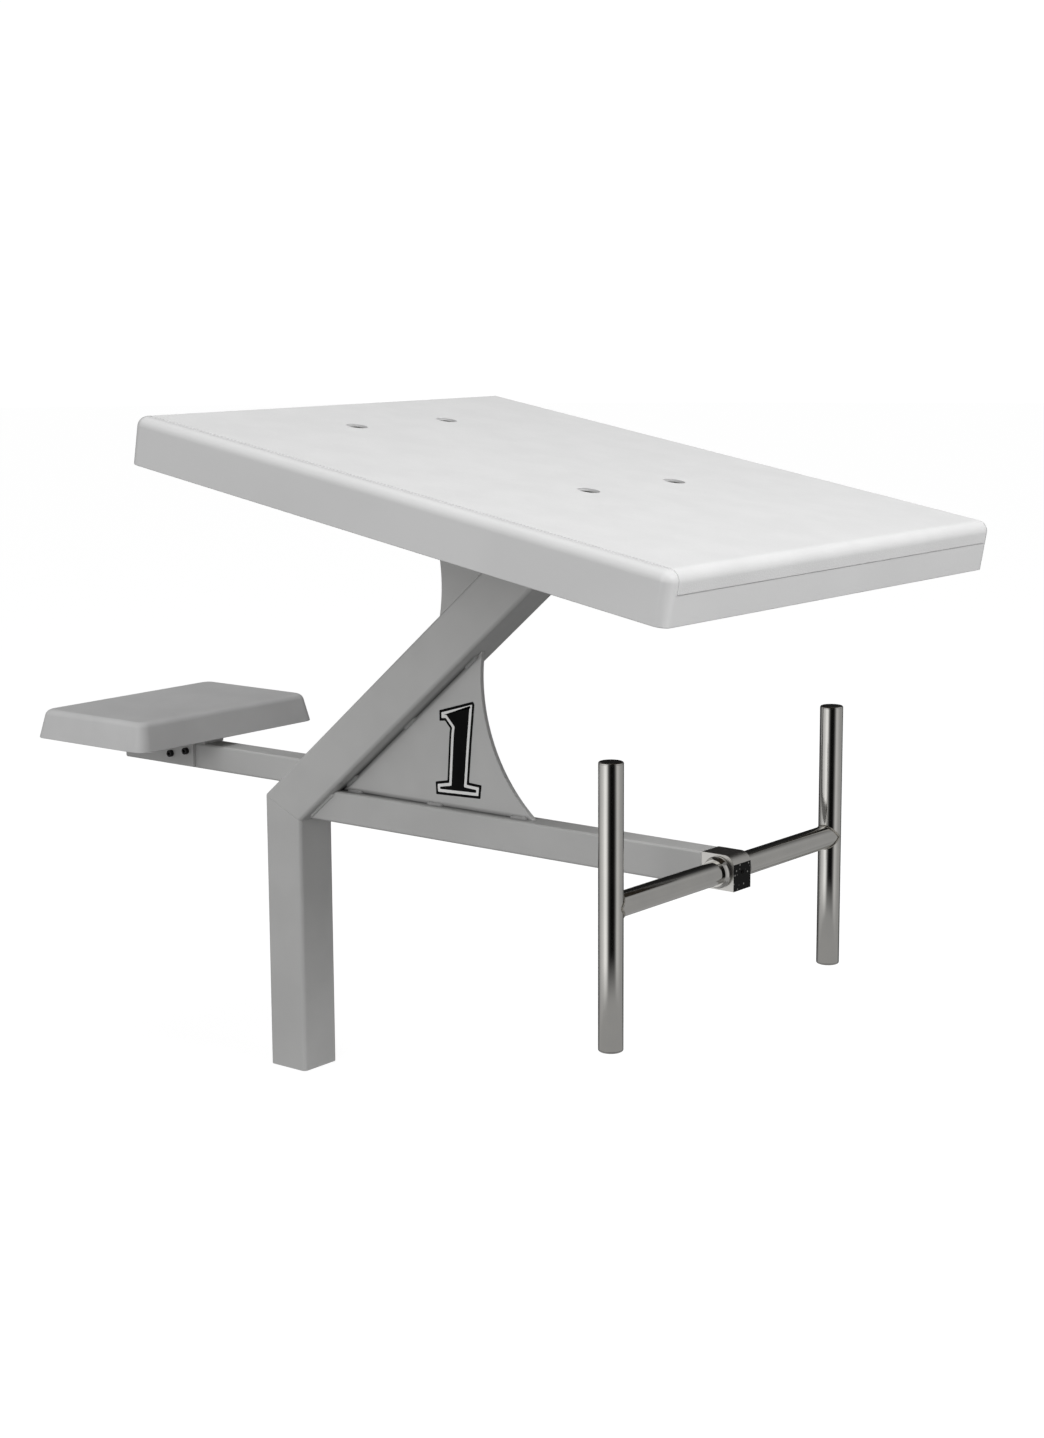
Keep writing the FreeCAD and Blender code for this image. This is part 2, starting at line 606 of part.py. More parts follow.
bracketLow = f"({stepCoreLow} - bracket_thickness)"
saddle = fuse("SaddleSolid",
              block("SaddlePlate", "bracket_length", "bracket_width", "bracket_thickness",
                    x=f"{stepMiddle} - bracket_length / 2", y="-bracket_width / 2", z=bracketLow),
              block("SaddleRiser", "bracket_length", "arm_width", f"{bracketLow} - {rearArmHigh}",
                    x=f"{stepMiddle} - bracket_length / 2", y="-arm_width / 2", z=rearArmHigh),
              *[block(f"SaddleCheek{i}", "cheek_length", "bracket_thickness",
                      f"{bracketLow} - {rearArmHigh} + cheek_drop", x="cheek_rear",
                      y=offset, z=f"{rearArmHigh} - cheek_drop")
                for i, offset in enumerate(("arm_width / 2", "-arm_width / 2 - bracket_thickness"))])
grip = "(arm_width + 2 * bracket_thickness)"
boltRoom = "cheek_bolt_size / 2 + screw_clearance"
crossHoles = group("SaddleHoles", [cylinder(f"SaddleHole{i}", boltRoom, f"2 * {grip}", x=x, y=grip, z=z,
                                            axis=(1, 0, 0), angle="90") for i, (x, z) in enumerate(cheekBolts)])
screwRoom = "step_screw_size / 2 + screw_clearance"
screwHoles = group("PlateScrewHoles",
                   [cylinder(f"PlateScrewHole{i}", screwRoom, "bracket_thickness", x=x, y=y, z=bracketLow)
                    for i, (x, y) in enumerate(screwPlaces)])
node(cut("StepBracket", saddle, crossHoles, screwHoles), "step_bracket")

screwMaster = fuse("StepScrewMaster",
                   cylinder("StepScrewHead", "step_screw_head / 2", "step_screw_head_height",
                            z="-step_screw_head_height"),
                   cylinder("StepScrewShank", "step_screw_size / 2 - close_gap",
                            "step_screw_length - tip_clearance"))
node(copies("StepScrews", screwMaster, [(x, y, bracketLow) for x, y in screwPlaces]), "step_screws")

crossShank = f"({grip} + cheek_bolt_tail)"
crossMaster = cut("CheekBoltMaster",
                  fuse("CheekBoltBlank",
                       cylinder("CheekBoltHead", "cheek_bolt_head / 2", "cheek_bolt_head_height"),
                       cylinder("CheekBoltShank", "cheek_bolt_size / 2", crossShank, z=f"-{crossShank}")),
                  hexagon("CheekBoltSocketHole", "cheek_bolt_socket", "cheek_bolt_head_height",
                          z="cheek_bolt_head_height / 2"))
crossNut = cut("CheekNutMaster", hexagon("CheekNutBlank", "cheek_nut_flats", "cheek_nut_height"),
               cylinder("CheekNutBore", "cheek_bolt_size / 2 + close_gap", "cheek_nut_height"))
node(copies("BracketBolts", crossMaster, [(x, f"-{grip} / 2", z) for x, z in cheekBolts],
            axis=(1, 0, 0), angle="90"), "bracket_bolts")
node(copies("BracketNuts", crossNut, [(x, f"{grip} / 2", z) for x, z in cheekBolts],
            axis=(-1, 0, 0), angle="90"), "bracket_nuts")

# ---------------------------------------------------------------- backstroke grip bar
barRadius = "(bar_size / 2)"
barBore = "(bar_size / 2 - bar_wall)"
span = "(grip_spacing / 2)"


def across(name, radius, length):
    """A cylinder along Y, centred on the bar's own axis."""
    return cylinder(name, radius, length, x="bar_x", y=f"({length}) / 2", z=armAxis, axis=(1, 0, 0), angle="90")


def upright(name, radius, length, side):
    return cylinder(name, radius, length, x="bar_x", y=f"{side} * {span}", z=f"{armAxis} - ({length}) / 2")


node(cut("CrossTube", across("CrossOuter", barRadius, "grip_spacing"),
         across("CrossInner", barBore, "grip_spacing"),
         *[upright(f"CrossCope{i}", f"{barRadius} + close_gap", "grip_length", side)
           for i, side in enumerate((-1, 1))]), "grip_crossbar")
for side, label in ((-1, "right_grip_tube"), (1, "left_grip_tube")):
    hand = label[0].upper()
    node(cut(f"Grip{hand}", upright(f"Grip{hand}Outer", barRadius, "grip_length", side),
             upright(f"Grip{hand}Inner", barBore, "grip_length", side)), label)

capBody = newBody("GripCap")
capSketch = newSketch(capBody, "XZ", "GripCapProfile")
capPlug = f"({barBore} - grip_cap_clearance)"
polygon(capSketch, [("0", "-grip_cap_plug"), (capPlug, "-grip_cap_plug"), (capPlug, "0"), (barRadius, "0"),
                    (barRadius, "grip_cap"), ("0", "grip_cap")])
capTurn = revolve(capBody, capSketch, "V_Axis")
fillet(capBody, capTurn, "grip_cap_round", atHeight(number("grip_cap")))
sides = [f"{side} * {span}" for side in (-1, 1)]
topCaps = copies("TopCaps", capBody, [("bar_x", y, f"{armAxis} + grip_length / 2") for y in sides])
lowCaps = copies("LowCaps", capBody, [("bar_x", y, f"{armAxis} - grip_length / 2") for y in sides],
                 axis=(1, 0, 0), angle="180")
node(group("GripCaps", [topCaps, lowCaps]), "grip_end_caps")

barWelds = []
for side in (-1, 1):
    hand = "RL"[side > 0]
    collarRing = cut(f"BarWeldRing{hand}",
                     across(f"BarWeldOuter{hand}", f"{barRadius} + bar_weld / 2", "grip_spacing"),
                     across(f"BarWeldInner{hand}", f"{barRadius} + close_gap", "grip_spacing"))
    gripRing = cut(f"GripWeldRing{hand}",
                   upright(f"GripWeldOuter{hand}", f"{barRadius} + bar_weld", "4 * bar_size", side),
                   upright(f"GripWeldInner{hand}", f"{barRadius} + close_gap", "4 * bar_size", side))
    saddleBead = document.addObject("Part::Common", f"BarWeld{hand}")
    saddleBead.Base = collarRing
    saddleBead.Tool = gripRing
    barWelds.append(saddleBead)
node(group("BarWelds", barWelds), "grip_bar_welds")

collars = []
for side in (-1, 1):
    hand = "RL"[side > 0]
    face = f"{side} * (arm_width / 2 + collar_play)"
    flange = cylinder(f"CollarFlange{hand}", "collar_size / 2", "collar_flange", x="bar_x", y=face,
                      z=armAxis, axis=(-1, 0, 0), angle=f"{side} * 90")
    flare = bind(document.addObject("Part::Cone", f"CollarFlare{hand}"), Radius1="collar_size / 2",
                 Radius2=f"{barRadius} + collar_lip", Height="collar_width - collar_flange")
    place(flare, x="bar_x", y=f"{face} + {side} * collar_flange", z=armAxis, axis=(-1, 0, 0),
          angle=f"{side} * 90")
    collars.append(cut(f"Collar{hand}", fuse(f"CollarSolid{hand}", flange, flare),
                       across(f"CollarBore{hand}", f"{barRadius} + close_gap", "grip_spacing")))
node(group("BarCollars", collars), "grip_bar_collars")

# ---------------------------------------------------------------- clamp block on the front arm
clampBody = newBody("Clamp")
clampSide = newSketch(clampBody, "XZ", "ClampOutline")
rectangle(clampSide, "arm_end", "block_front", armLow, armHigh)
clampPad = pad(clampBody, clampSide, "arm_width", midplane=True)
frontX = number("block_front")
middleZ = number(armAxis)
fillet(clampBody, clampPad, "block_round",
       lambda edge: all(abs(v.Point.x - frontX) < 1e-6 and v.Point.z > middleZ for v in edge.Vertexes))
clampBore = newSketch(clampBody, "XZ", "ClampBore")
circle(clampBore, "bar_x", armAxis, f"{barRadius} + bar_fit")
pocket(clampBody, clampBore, "2 * arm_width", midplane=True)

spigotHalf = "(arm_width / 2 - arm_wall - spigot_clearance)"
spigotTall = "(arm_height / 2 - arm_wall - spigot_clearance)"
spigot = block("Spigot", "spigot_length", f"2 * {spigotHalf}", f"2 * {spigotTall}", x="arm_end - spigot_length",
               y=f"-{spigotHalf}", z=f"{armAxis} - {spigotTall}")
frontGrub = cylinder("FrontGrub", "grub_size / 2", "block_front", x="bar_x", z=armAxis,
                     axis=(0, 1, 0), angle="90")
lowerGrub = cylinder("LowerGrub", "grub_size / 2", "arm_height", x="bar_x", z=f"{armAxis} - arm_height")
spigotBores = [cylinder(f"SpigotBore{i}", "spigot_screw_size / 2", "arm_height / 2", x=x, z=armLow)
               for i, x in enumerate(spigotScrews)]
node(cut("ClampBlock", fuse("ClampSolid", clampBody, spigot), frontGrub, lowerGrub, *spigotBores),
     "clamp_block")

grubMaster = cut("GrubMaster", cylinder("GrubBlank", "grub_size / 2", "grub_length"),
                 hexagon("GrubSocket", "grub_size / 2", "grub_length", z="grub_length / 2"))
tip = f"({barRadius} + bar_fit)"
grubFront = copies("GrubFront", grubMaster, [(f"bar_x + {tip}", "0", armAxis)], axis=(0, 1, 0), angle="90")
grubLow = copies("GrubLow", grubMaster, [("bar_x", "0", f"{armAxis} - {tip}")], axis=(1, 0, 0), angle="180")
node(group("ClampGrubs", [grubFront, grubLow]), "clamp_grub_screws")

spigotScrewMaster = fuse("SpigotScrewMaster",
                         cylinder("SpigotScrewHead", "spigot_screw_head / 2", "spigot_screw_size / 2",
                                  z="-spigot_screw_size / 2"),
                         cylinder("SpigotScrewShank", "spigot_screw_size / 2 - close_gap",
                                  "arm_height / 2 - tip_clearance"))
node(copies("SpigotScrews", spigotScrewMaster, [(x, "0", armLow) for x in spigotScrews]), "spigot_screws")

# ---------------------------------------------------------------- proof, then one file for each piece
document.recompute()
for target in document.Objects:
    if "Invalid" in target.State or "Error" in target.State:
        raise RuntimeError(f"{target.Name} failed: {target.State}")
os.makedirs("parts", exist_ok=True)
for target in nodes:
    if target.Shape.isNull() or not target.Shape.isValid():
        raise RuntimeError(f"{target.Label} has no sound shape")
for target in nodes:
    target.Shape.exportStep(f"parts/{target.Label}.step")
print(len(nodes), "nodes written")
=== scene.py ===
import math
import bmesh
import bpy
from mathutils import Matrix, Vector


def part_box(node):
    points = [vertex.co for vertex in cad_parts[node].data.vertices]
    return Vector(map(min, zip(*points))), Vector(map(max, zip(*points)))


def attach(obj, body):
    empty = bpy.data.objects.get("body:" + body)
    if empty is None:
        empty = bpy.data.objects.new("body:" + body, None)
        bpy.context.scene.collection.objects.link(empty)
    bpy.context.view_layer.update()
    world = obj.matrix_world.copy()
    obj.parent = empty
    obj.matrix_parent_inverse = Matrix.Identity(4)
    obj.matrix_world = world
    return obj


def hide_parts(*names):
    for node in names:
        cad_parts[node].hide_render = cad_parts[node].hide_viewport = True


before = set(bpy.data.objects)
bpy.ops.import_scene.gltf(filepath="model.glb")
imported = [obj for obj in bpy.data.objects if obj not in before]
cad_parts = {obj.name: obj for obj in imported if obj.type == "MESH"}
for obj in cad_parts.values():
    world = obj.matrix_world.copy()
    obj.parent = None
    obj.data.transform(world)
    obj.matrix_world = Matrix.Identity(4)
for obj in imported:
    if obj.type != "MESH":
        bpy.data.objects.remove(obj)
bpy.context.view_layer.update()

mm = 0.001
xAxis, yAxis, zAxis = Vector((1, 0, 0)), Vector((0, 1, 0)), Vector((0, 0, 1))
print("frame loaded,", len(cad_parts), "CAD nodes")


# ---- nodes and colours

def hexColour(code):  # sRGB hex to the linear values that shaders use
    channels = [int(code[i:i + 2], 16) / 255 for i in (1, 3, 5)]
    return [c / 12.92 if c <= 0.04045 else ((c + 0.055) / 1.055) ** 2.4 for c in channels] + [1.0]


def feed(tree, node, inputs):  # sets or links inputs; a node given as a value stands for its live output
    for key, value in inputs.items():
        if isinstance(value, bpy.types.Node):
            value = next(socket for socket in value.outputs if socket.enabled)
        if isinstance(value, bpy.types.NodeSocket):
            tree.links.new(value, node.inputs[key])
        else:
            node.inputs[key].default_value = value


def addNode(tree, kind, inputs=None, **settings):
    made = tree.nodes.new(kind)
    for name, value in settings.items():
        setattr(made, name, value)
    feed(tree, made, inputs or {})
    return made


def rampColours(ramp, stops):  # stops are (place, colour)
    elements = ramp.color_ramp.elements
    while len(elements) < len(stops):
        elements.new(0.5)
    for element, (place, colour) in zip(elements, stops):
        element.position = place
        element.color = colour


def per(size):  # texture scale for a feature of this many millimetres on Object coordinates
    return 1000 / size


def startMaterial(name, slotName, **values):
    material = bpy.data.materials.new(name)
    material.use_nodes = True
    tree = material.node_tree
    shader = tree.nodes["Principled BSDF"]
    feed(tree, shader, {label.replace("_", " "): value for label, value in values.items()})
    return material, tree, shader, addNode(tree, "ShaderNodeTexCoord").outputs["Object"]


def patchy(tree, place, size, colours, detail=2.0):  # soft clouds between a dark and a light colour
    noise = addNode(tree, "ShaderNodeTexNoise", {"Vector": place, "Scale": per(size), "Detail": detail})
    ramp = addNode(tree, "ShaderNodeValToRGB", {"Fac": noise})
    rampColours(ramp, list(zip((0.35, 0.65), map(hexColour, colours))))
    return ramp


def gloss(tree, shader, pattern, rough, depth, strength=1.0, under=None):  # one pattern as roughness and bump
    low, high = rough
    bump = {"Height": pattern, "Distance": depth * mm, "Strength": strength}
    if under:
        bump["Normal"] = under
    feed(tree, shader, {
        "Roughness": addNode(tree, "ShaderNodeMapRange", {"Value": pattern, "To Min": low, "To Max": high}),
        "Normal": addNode(tree, "ShaderNodeBump", bump)})


def overpaint(tree, mask, colour):  # lays a second colour over a finish, by a mask
    shader = tree.nodes["Principled BSDF"]
    own = shader.inputs["Base Color"].links[0].from_socket
    mixed = addNode(tree, "ShaderNodeMix", {0: mask, 6: own, 7: colour}, data_type="RGBA")
    feed(tree, shader, {"Base Color": mixed})


# ---- materials, each named for the finish it stands for; sizes and depths in millimetres

def powderCoat(name, *colours):  # polyester powder coat, cured: satin, with a fine orange peel
    look = {"peel": 2.4, "depth": 0.035, "cloud": 70.0, "grain": 0.9, "fleck": 0.16, "rough": (0.34, 0.46)}
    material, tree, shader, place = startMaterial(name, "frame_coat")
    feed(tree, shader, {"Base Color": patchy(tree, place, look["cloud"], colours)})
    grain = addNode(tree, "ShaderNodeTexNoise", {"Vector": place, "Scale": per(look["grain"]), "Detail": 1.0})
    overpaint(tree, addNode(tree, "ShaderNodeMapRange", {"Value": grain, "To Max": look["fleck"]}),
              hexColour("#C9C9C8"))
    peel = addNode(tree, "ShaderNodeTexNoise", {"Vector": place, "Scale": per(look["peel"]), "Detail": 2.0})
    gloss(tree, shader, peel, look["rough"], look["depth"])
    return material


def polishedSteel(name, drawn, rough=(0.05, 0.13)):  # mirror polish, faint lines along the tube
    look = {"line": 0.35, "depth": 0.0035, "smear": 26.0, "stretch": 40.0}
    low, high = rough
    material, tree, shader, place = startMaterial(name, "polished_stainless", Metallic=1.0)
    stretch = [1.0 if axis == drawn else look["stretch"] for axis in "XYZ"]
    lines = addNode(tree, "ShaderNodeMapping", {"Vector": place, "Scale": stretch})
    fine = addNode(tree, "ShaderNodeTexNoise", {"Vector": lines, "Scale": per(look["line"]) / look["stretch"],
                                                "Detail": 3.0})
    smear = addNode(tree, "ShaderNodeTexNoise", {"Vector": place, "Scale": per(look["smear"]), "Detail": 4.0})
    tones = {0: smear, 6: hexColour("#C9C8C5"), 7: hexColour("#D6D4CF")}
    feed(tree, shader, {
        "Base Color": addNode(tree, "ShaderNodeMix", tones, data_type="RGBA"),
        "Roughness": addNode(tree, "ShaderNodeMapRange", {"Value": smear, "To Min": low, "To Max": high}),
        "Normal": addNode(tree, "ShaderNodeBump", {"Height": fine, "Distance": look["depth"] * mm,
                                                   "Strength": 1.0})})
    return material


def clampWithPaintedReflection(name):  # brushed stainless whose front face carries a painted reflection: near-black, with bright painted glints
    look = {"skin": 0.3 * mm, "mark": 6.0, "bright": (0.12, "#A9A8A5"), "dark": (0.2, "#131313")}
    material = polishedSteel(name, "X", (0.26, 0.36))
    tree = material.node_tree
    place = addNode(tree, "ShaderNodeTexCoord").outputs["Object"]
    across = addNode(tree, "ShaderNodeSeparateXYZ", {0: place}).outputs["X"]
    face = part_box("clamp_block")[1].x - look["skin"]
    onFace = addNode(tree, "ShaderNodeMath", {0: across, 1: face}, operation="GREATER_THAN")
    mark = addNode(tree, "ShaderNodeTexVoronoi", {"Vector": place, "Scale": per(look["mark"])})
    paintedGlints = addNode(tree, "ShaderNodeValToRGB", {"Fac": mark})
    rampColours(paintedGlints, [(at, hexColour(code)) for at, code in (look["bright"], look["dark"])])
    # painted reflection: the front face laid near-black, with bright painted glints from the cell ramp
    overpaint(tree, onFace, paintedGlints)
    return material


def gelcoat(name, *colours):  # polyester gelcoat off a waxed mould: hard, even, half gloss
    look = {"cloud": 120.0, "wave": 28.0, "waveDepth": 0.05, "orange": 3.0, "orangeDepth": 0.012}
    material, tree, shader, place = startMaterial(name, "deck_gelcoat", Coat_Weight=0.25, Coat_Roughness=0.16)
    feed(tree, shader, {"Base Color": patchy(tree, place, look["cloud"], colours)})
    wave = addNode(tree, "ShaderNodeTexNoise", {"Vector": place, "Scale": per(look["wave"]), "Detail": 1.0})
    fine = addNode(tree, "ShaderNodeTexNoise", {"Vector": place, "Scale": per(look["orange"]), "Detail": 2.0})
    under = addNode(tree, "ShaderNodeBump", {"Height": wave, "Distance": look["waveDepth"] * mm,
                                             "Strength": 1.0})
    gloss(tree, shader, fine, (0.26, 0.36), look["orangeDepth"], under=under)
    return material


def gritCoat(name, *colours):  # sand broadcast in wet gelcoat and sealed: matt, with a bite to the foot
    look = {"grit": 1.3, "depth": 0.22, "cloud": 45.0, "pits": 0.3}  # grit a little coarse, to show
    material, tree, shader, place = startMaterial(name, "deck_tread")
    cells = addNode(tree, "ShaderNodeTexVoronoi", {"Vector": place, "Scale": per(look["grit"])})
    noise = addNode(tree, "ShaderNodeTexNoise", {"Vector": place, "Scale": per(look["grit"] * 2),
                                                 "Detail": 3.0})
    feed(tree, shader, {"Base Color": patchy(tree, place, look["cloud"], colours, detail=4.0)})
    overpaint(tree, addNode(tree, "ShaderNodeMapRange", {"Value": noise, "To Max": look["pits"]}),
              hexColour("#CDCDCD"))
    under = addNode(tree, "ShaderNodeBump", {"Height": cells, "Distance": look["depth"] * mm,
                                             "Strength": 0.5})
    gloss(tree, shader, noise, (0.62, 0.8), look["depth"], 0.4, under)
    return material


def shadeDarkenedPly(name):  # marine ply sealed in resin: brown grain under a dull gloss, the brown darkened as painted shade for the gap under the step
    look = {"grain": 3.0, "depth": 0.05, "along": (0.06, 1.0, 1.0)}
    material, tree, shader, place = startMaterial(name, "core_board")
    along = addNode(tree, "ShaderNodeMapping", {"Vector": place, "Scale": look["along"]})
    grain = addNode(tree, "ShaderNodeTexNoise", {"Vector": along, "Scale": per(look["grain"]), "Detail": 4.0,
                                                 "Distortion": 0.6})
    ramp = addNode(tree, "ShaderNodeValToRGB", {"Fac": grain})
    # dark brown tones: wood colour deepened as painted shade for the gap between the step and the arm
    rampColours(ramp, [(0.3, hexColour("#3E3428")), (0.7, hexColour("#66563F"))])
    feed(tree, shader, {"Base Color": ramp})
    gloss(tree, shader, grain, (0.35, 0.6), look["depth"])
    return material


def printedVinyl(name, rough, *colours):  # cast vinyl film: even colour, faint squeegee streaks in its gloss
    look = {"cloud": 18.0, "streak": 4.0, "along": (1.0, 1.0, 0.1), "depth": 0.01}
    material, tree, shader, place = startMaterial(name, "decal_vinyl", Specular_IOR_Level=0.05)
    feed(tree, shader, {"Base Color": patchy(tree, place, look["cloud"], colours)})
    along = addNode(tree, "ShaderNodeMapping", {"Vector": place, "Scale": look["along"]})
    streak = addNode(tree, "ShaderNodeTexNoise", {"Vector": along, "Scale": per(look["streak"])})
    gloss(tree, shader, streak, (rough - 0.08, rough + 0.08), look["depth"])
    return material


def plainFinish(name, slotName, colours, cloud, detail, grain, rough, depth, metallic=0.0):
    material, tree, shader, place = startMaterial(name, slotName, Metallic=metallic)
    feed(tree, shader, {"Base Color": patchy(tree, place, cloud, colours, detail)})
    marks = addNode(tree, "ShaderNodeTexNoise", {"Vector": place, "Scale": per(grain),
                                                 "Detail": 3.0 if metallic else 2.0})
    gloss(tree, shader, marks, rough, depth)
    return material


def mouldedAbs(name, *colours):  # moulded plastic with a fine spark texture, dull satin
    return plainFinish(name, "step_moulding", colours, 60.0, 2.0, 0.8, (0.4, 0.52), 0.05)


def machinedMetal(name, slotName, rough, *colours, metallic=1.0):  # turned or cold-headed, with fine marks
    return plainFinish(name, slotName, colours, 3.0, 4.0, 0.5, (rough - 0.07, rough + 0.09), 0.008, metallic)


greyCoat = ("#C1C1C0", "#C7C7C6")
frameCoat = powderCoat("greyPowderCoat", *greyCoat)
gripSteel = polishedSteel("polishedStainlessUpright", "Z")
crossSteel = polishedSteel("polishedStainlessCross", "Y")
blockSteel = clampWithPaintedReflection("brushedStainlessBlock")
weldSteel = machinedMetal("tigWeldStainless", "polished_stainless", 0.24, "#A9A6A0", "#CFCAC0")
deckGelcoat = gelcoat("paleGreyGelcoat", "#D5D5D5", "#D9D9D9")
deckGrit = gritCoat("sandedGelcoatTread", "#D6D6D6", "#DADADA")
stepPlastic = mouldedAbs("greyStepMoulding", "#CDCDCD", "#D2D2D2")
coreWood = shadeDarkenedPly("resinSealedPly")
blackVinyl = printedVinyl("blackVinyl", 0.45, "#040405", "#080809")
whiteVinyl = printedVinyl("whiteVinyl", 0.4, "#F6F6F5", "#FDFDFC")
blackSteel = machinedMetal("blackOxideSteel", "black_fasteners", 0.38, "#0E0E0F", "#1B1B1C", metallic=0.6)
boltSteel = machinedMetal("coldHeadedStainless", "stainless_fasteners", 0.28, "#A8A7A3", "#C2C1BD")
print("materials made:", len(bpy.data.materials))


# ---- meshes

def arc(centre, radius, start, finish, steps):  # points of an arc in a plane; angles in degrees
    turns = [math.radians(start + (finish - start) * i / steps) for i in range(steps + 1)]
    return [(centre[0] + radius * math.cos(a), centre[1] + radius * math.sin(a)) for a in turns]


def roundedRectangle(width, height, radius, steps=8, centre=(0.0, 0.0)):
    points = []
    for turn, (sx, sy) in zip((0, 90, 180, 270), ((1, 1), (-1, 1), (-1, -1), (1, -1))):
        corner = (centre[0] + sx * (width / 2 - radius), centre[1] + sy * (height / 2 - radius))
        points += arc(corner, radius, turn, turn + 90, steps)
    return points


def addRing(bm, points):
    return [bm.verts.new(p) for p in points]


def skin(bm, rings, closed=False):  # quads between rings of the same count
    pairs = list(zip(rings, rings[1:] + rings[:1])) if closed else list(zip(rings, rings[1:]))
    for low, high in pairs:
        for i in range(len(low)):
            j = (i + 1) % len(low)
            bm.faces.new((low[i], low[j], high[j], high[i]))


def circle(radius, height=0.0, count=48):
    turns = [math.tau * i / count for i in range(count)]
    return [(radius * math.cos(a), radius * math.sin(a), height) for a in turns]


def lathe(profile, segments=48, matrix=None, bm=None):  # turns (radius, height) points about Z
    bm = bm or bmesh.new()
    rings = []
    for radius, height in profile:
        onAxis = radius < 1e-7  # a profile that ends on the axis is closed there
        rings.append(addRing(bm, [(0, 0, height)] if onAxis else circle(radius, height, segments)))
    made = [v for ring in rings for v in ring]
    for low, high in zip(rings, rings[1:]):
        for i in range(segments):
            j = (i + 1) % segments
            corners = [low[i % len(low)], low[j % len(low)], high[j % len(high)], high[i % len(high)]]
            bm.faces.new(list(dict.fromkeys(corners)))
    if rings[0][0] is not rings[-1][0] and len(rings[0]) > 1 and len(rings[-1]) > 1:
        skin(bm, [rings[-1], rings[0]])  # a tube: joins the last ring to the first
    if matrix:
        bmesh.ops.transform(bm, matrix=matrix, verts=made)
    return bm


def prism(bm, outline, near, far):  # a closed plate between two Y planes; outline is (x, z)
    front = addRing(bm, [(x, near, z) for x, z in outline])
    back = addRing(bm, [(x, far, z) for x, z in outline])
    skin(bm, [front, back])
    bm.faces.new(front)
    bm.faces.new(list(reversed(back)))


def standing(centre, axis):  # matrix that stands a lathe on a point with its Z along an axis
    return Matrix.Translation(centre) @ Vector(axis).to_track_quat("Z", "Y").to_matrix().to_4x4()


def cadName(name):  # the CAD node that a piece is named after: rearArmPlug is rear_arm_plug
    return "".join("_" + letter.lower() if letter.isupper() else letter for letter in name)


def addPiece(name, mesh, node=None, body="root", slotName=None):
    piece = bpy.data.objects.new(name, mesh)
    bpy.context.collection.objects.link(piece)
    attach(piece, body)
    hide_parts(node or cadName(name))
    return piece


def finishMesh(name, bm, material, sharp=38.0):
    bmesh.ops.remove_doubles(bm, verts=bm.verts, dist=1e-7)
    bmesh.ops.recalc_face_normals(bm, faces=bm.faces)
    for face in bm.faces:
        face.smooth = True
    for edge in bm.edges:
        edge.smooth = edge.calc_face_angle(0.0) < math.radians(sharp)
    mesh = bpy.data.meshes.new(name)
    bm.to_mesh(mesh)
    bm.free()
    mesh.materials.append(material)
    return mesh


def makePiece(name, bm, material, node=None, body="root"):
    return addPiece(name, finishMesh(name, bm, material), node, body)


def breakEdges(piece, width, segments=2, angle=40.0):  # rounds every hard edge by a real radius
    for edge in piece.data.edges:
        edge.use_edge_sharp = False
    bevel = piece.modifiers.new("edgeRadius", "BEVEL")
    bevel.width = width
    bevel.segments = segments
    bevel.limit_method = "ANGLE"
    bevel.angle_limit = math.radians(angle)
    bevel.miter_outer = "MITER_ARC"
    shading = piece.modifiers.new("evenShading", "WEIGHTED_NORMAL")
    shading.keep_sharp = True
    return piece


def carve(piece, cutters):  # takes closed cutter meshes out of a piece, and leaves no modifier behind
    tool = bpy.data.objects.new("cutter", bpy.data.meshes.new("cutter"))
    bm = bmesh.new()
    for cutter in cutters:
        cutter(bm)
    bmesh.ops.recalc_face_normals(bm, faces=bm.faces)
    bm.to_mesh(tool.data)
    bm.free()
    bpy.context.collection.objects.link(tool)
    hole = piece.modifiers.new("holes", "BOOLEAN")
    hole.operation = "DIFFERENCE"
    hole.solver = "EXACT"
    hole.object = tool
    graph = bpy.context.evaluated_depsgraph_get()
    result = bpy.data.meshes.new_from_object(piece.evaluated_get(graph), depsgraph=graph)
    piece.modifiers.remove(hole)
    result.name = piece.data.name
    piece.data = result
    bpy.data.objects.remove(tool)
    return piece


def refined(name, material, radius):  # a CAD solid with its edges broken
    bm = bmesh.new()
    bm.from_mesh(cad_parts[cadName(name)].data)
    bmesh.ops.remove_doubles(bm, verts=bm.verts, dist=2e-6)
    bmesh.ops.dissolve_limit(bm, angle_limit=math.radians(0.5), verts=bm.verts, edges=bm.edges)
    return breakEdges(makePiece(name, bm, material), radius)


def openShell(outerRings, innerRings, bm):  # a skirted top, open below
    skin(bm, outerRings)
    skin(bm, innerRings)
    skin(bm, [innerRings[0], outerRings[0]])
    bm.faces.new(outerRings[-1])
    bm.faces.new(innerRings[-1])
    return bm


# ---- geometry node trees for what repeats

def startTree(name, sockets):
    tree = bpy.data.node_groups.new(name, "GeometryNodeTree")
    tree.interface.new_socket("Geometry", in_out="INPUT", socket_type="NodeSocketGeometry")
    for label, kind, value in sockets:
        socket = tree.interface.new_socket(label, in_out="INPUT", socket_type=kind)
        if value is not None:
            socket.default_value = value
    tree.interface.new_socket("Geometry", in_out="OUTPUT", socket_type="NodeSocketGeometry")
    return tree, addNode(tree, "NodeGroupInput").outputs


def endTree(tree, geometry, finish):  # every tree ends real, smooth and with its finish on
    real = addNode(tree, "GeometryNodeRealizeInstances", {0: geometry})
    painted = addNode(tree, "GeometryNodeSetMaterial", {"Geometry": real, "Material": finish})
    addNode(tree, "NodeGroupOutput", {0: painted})
    return tree


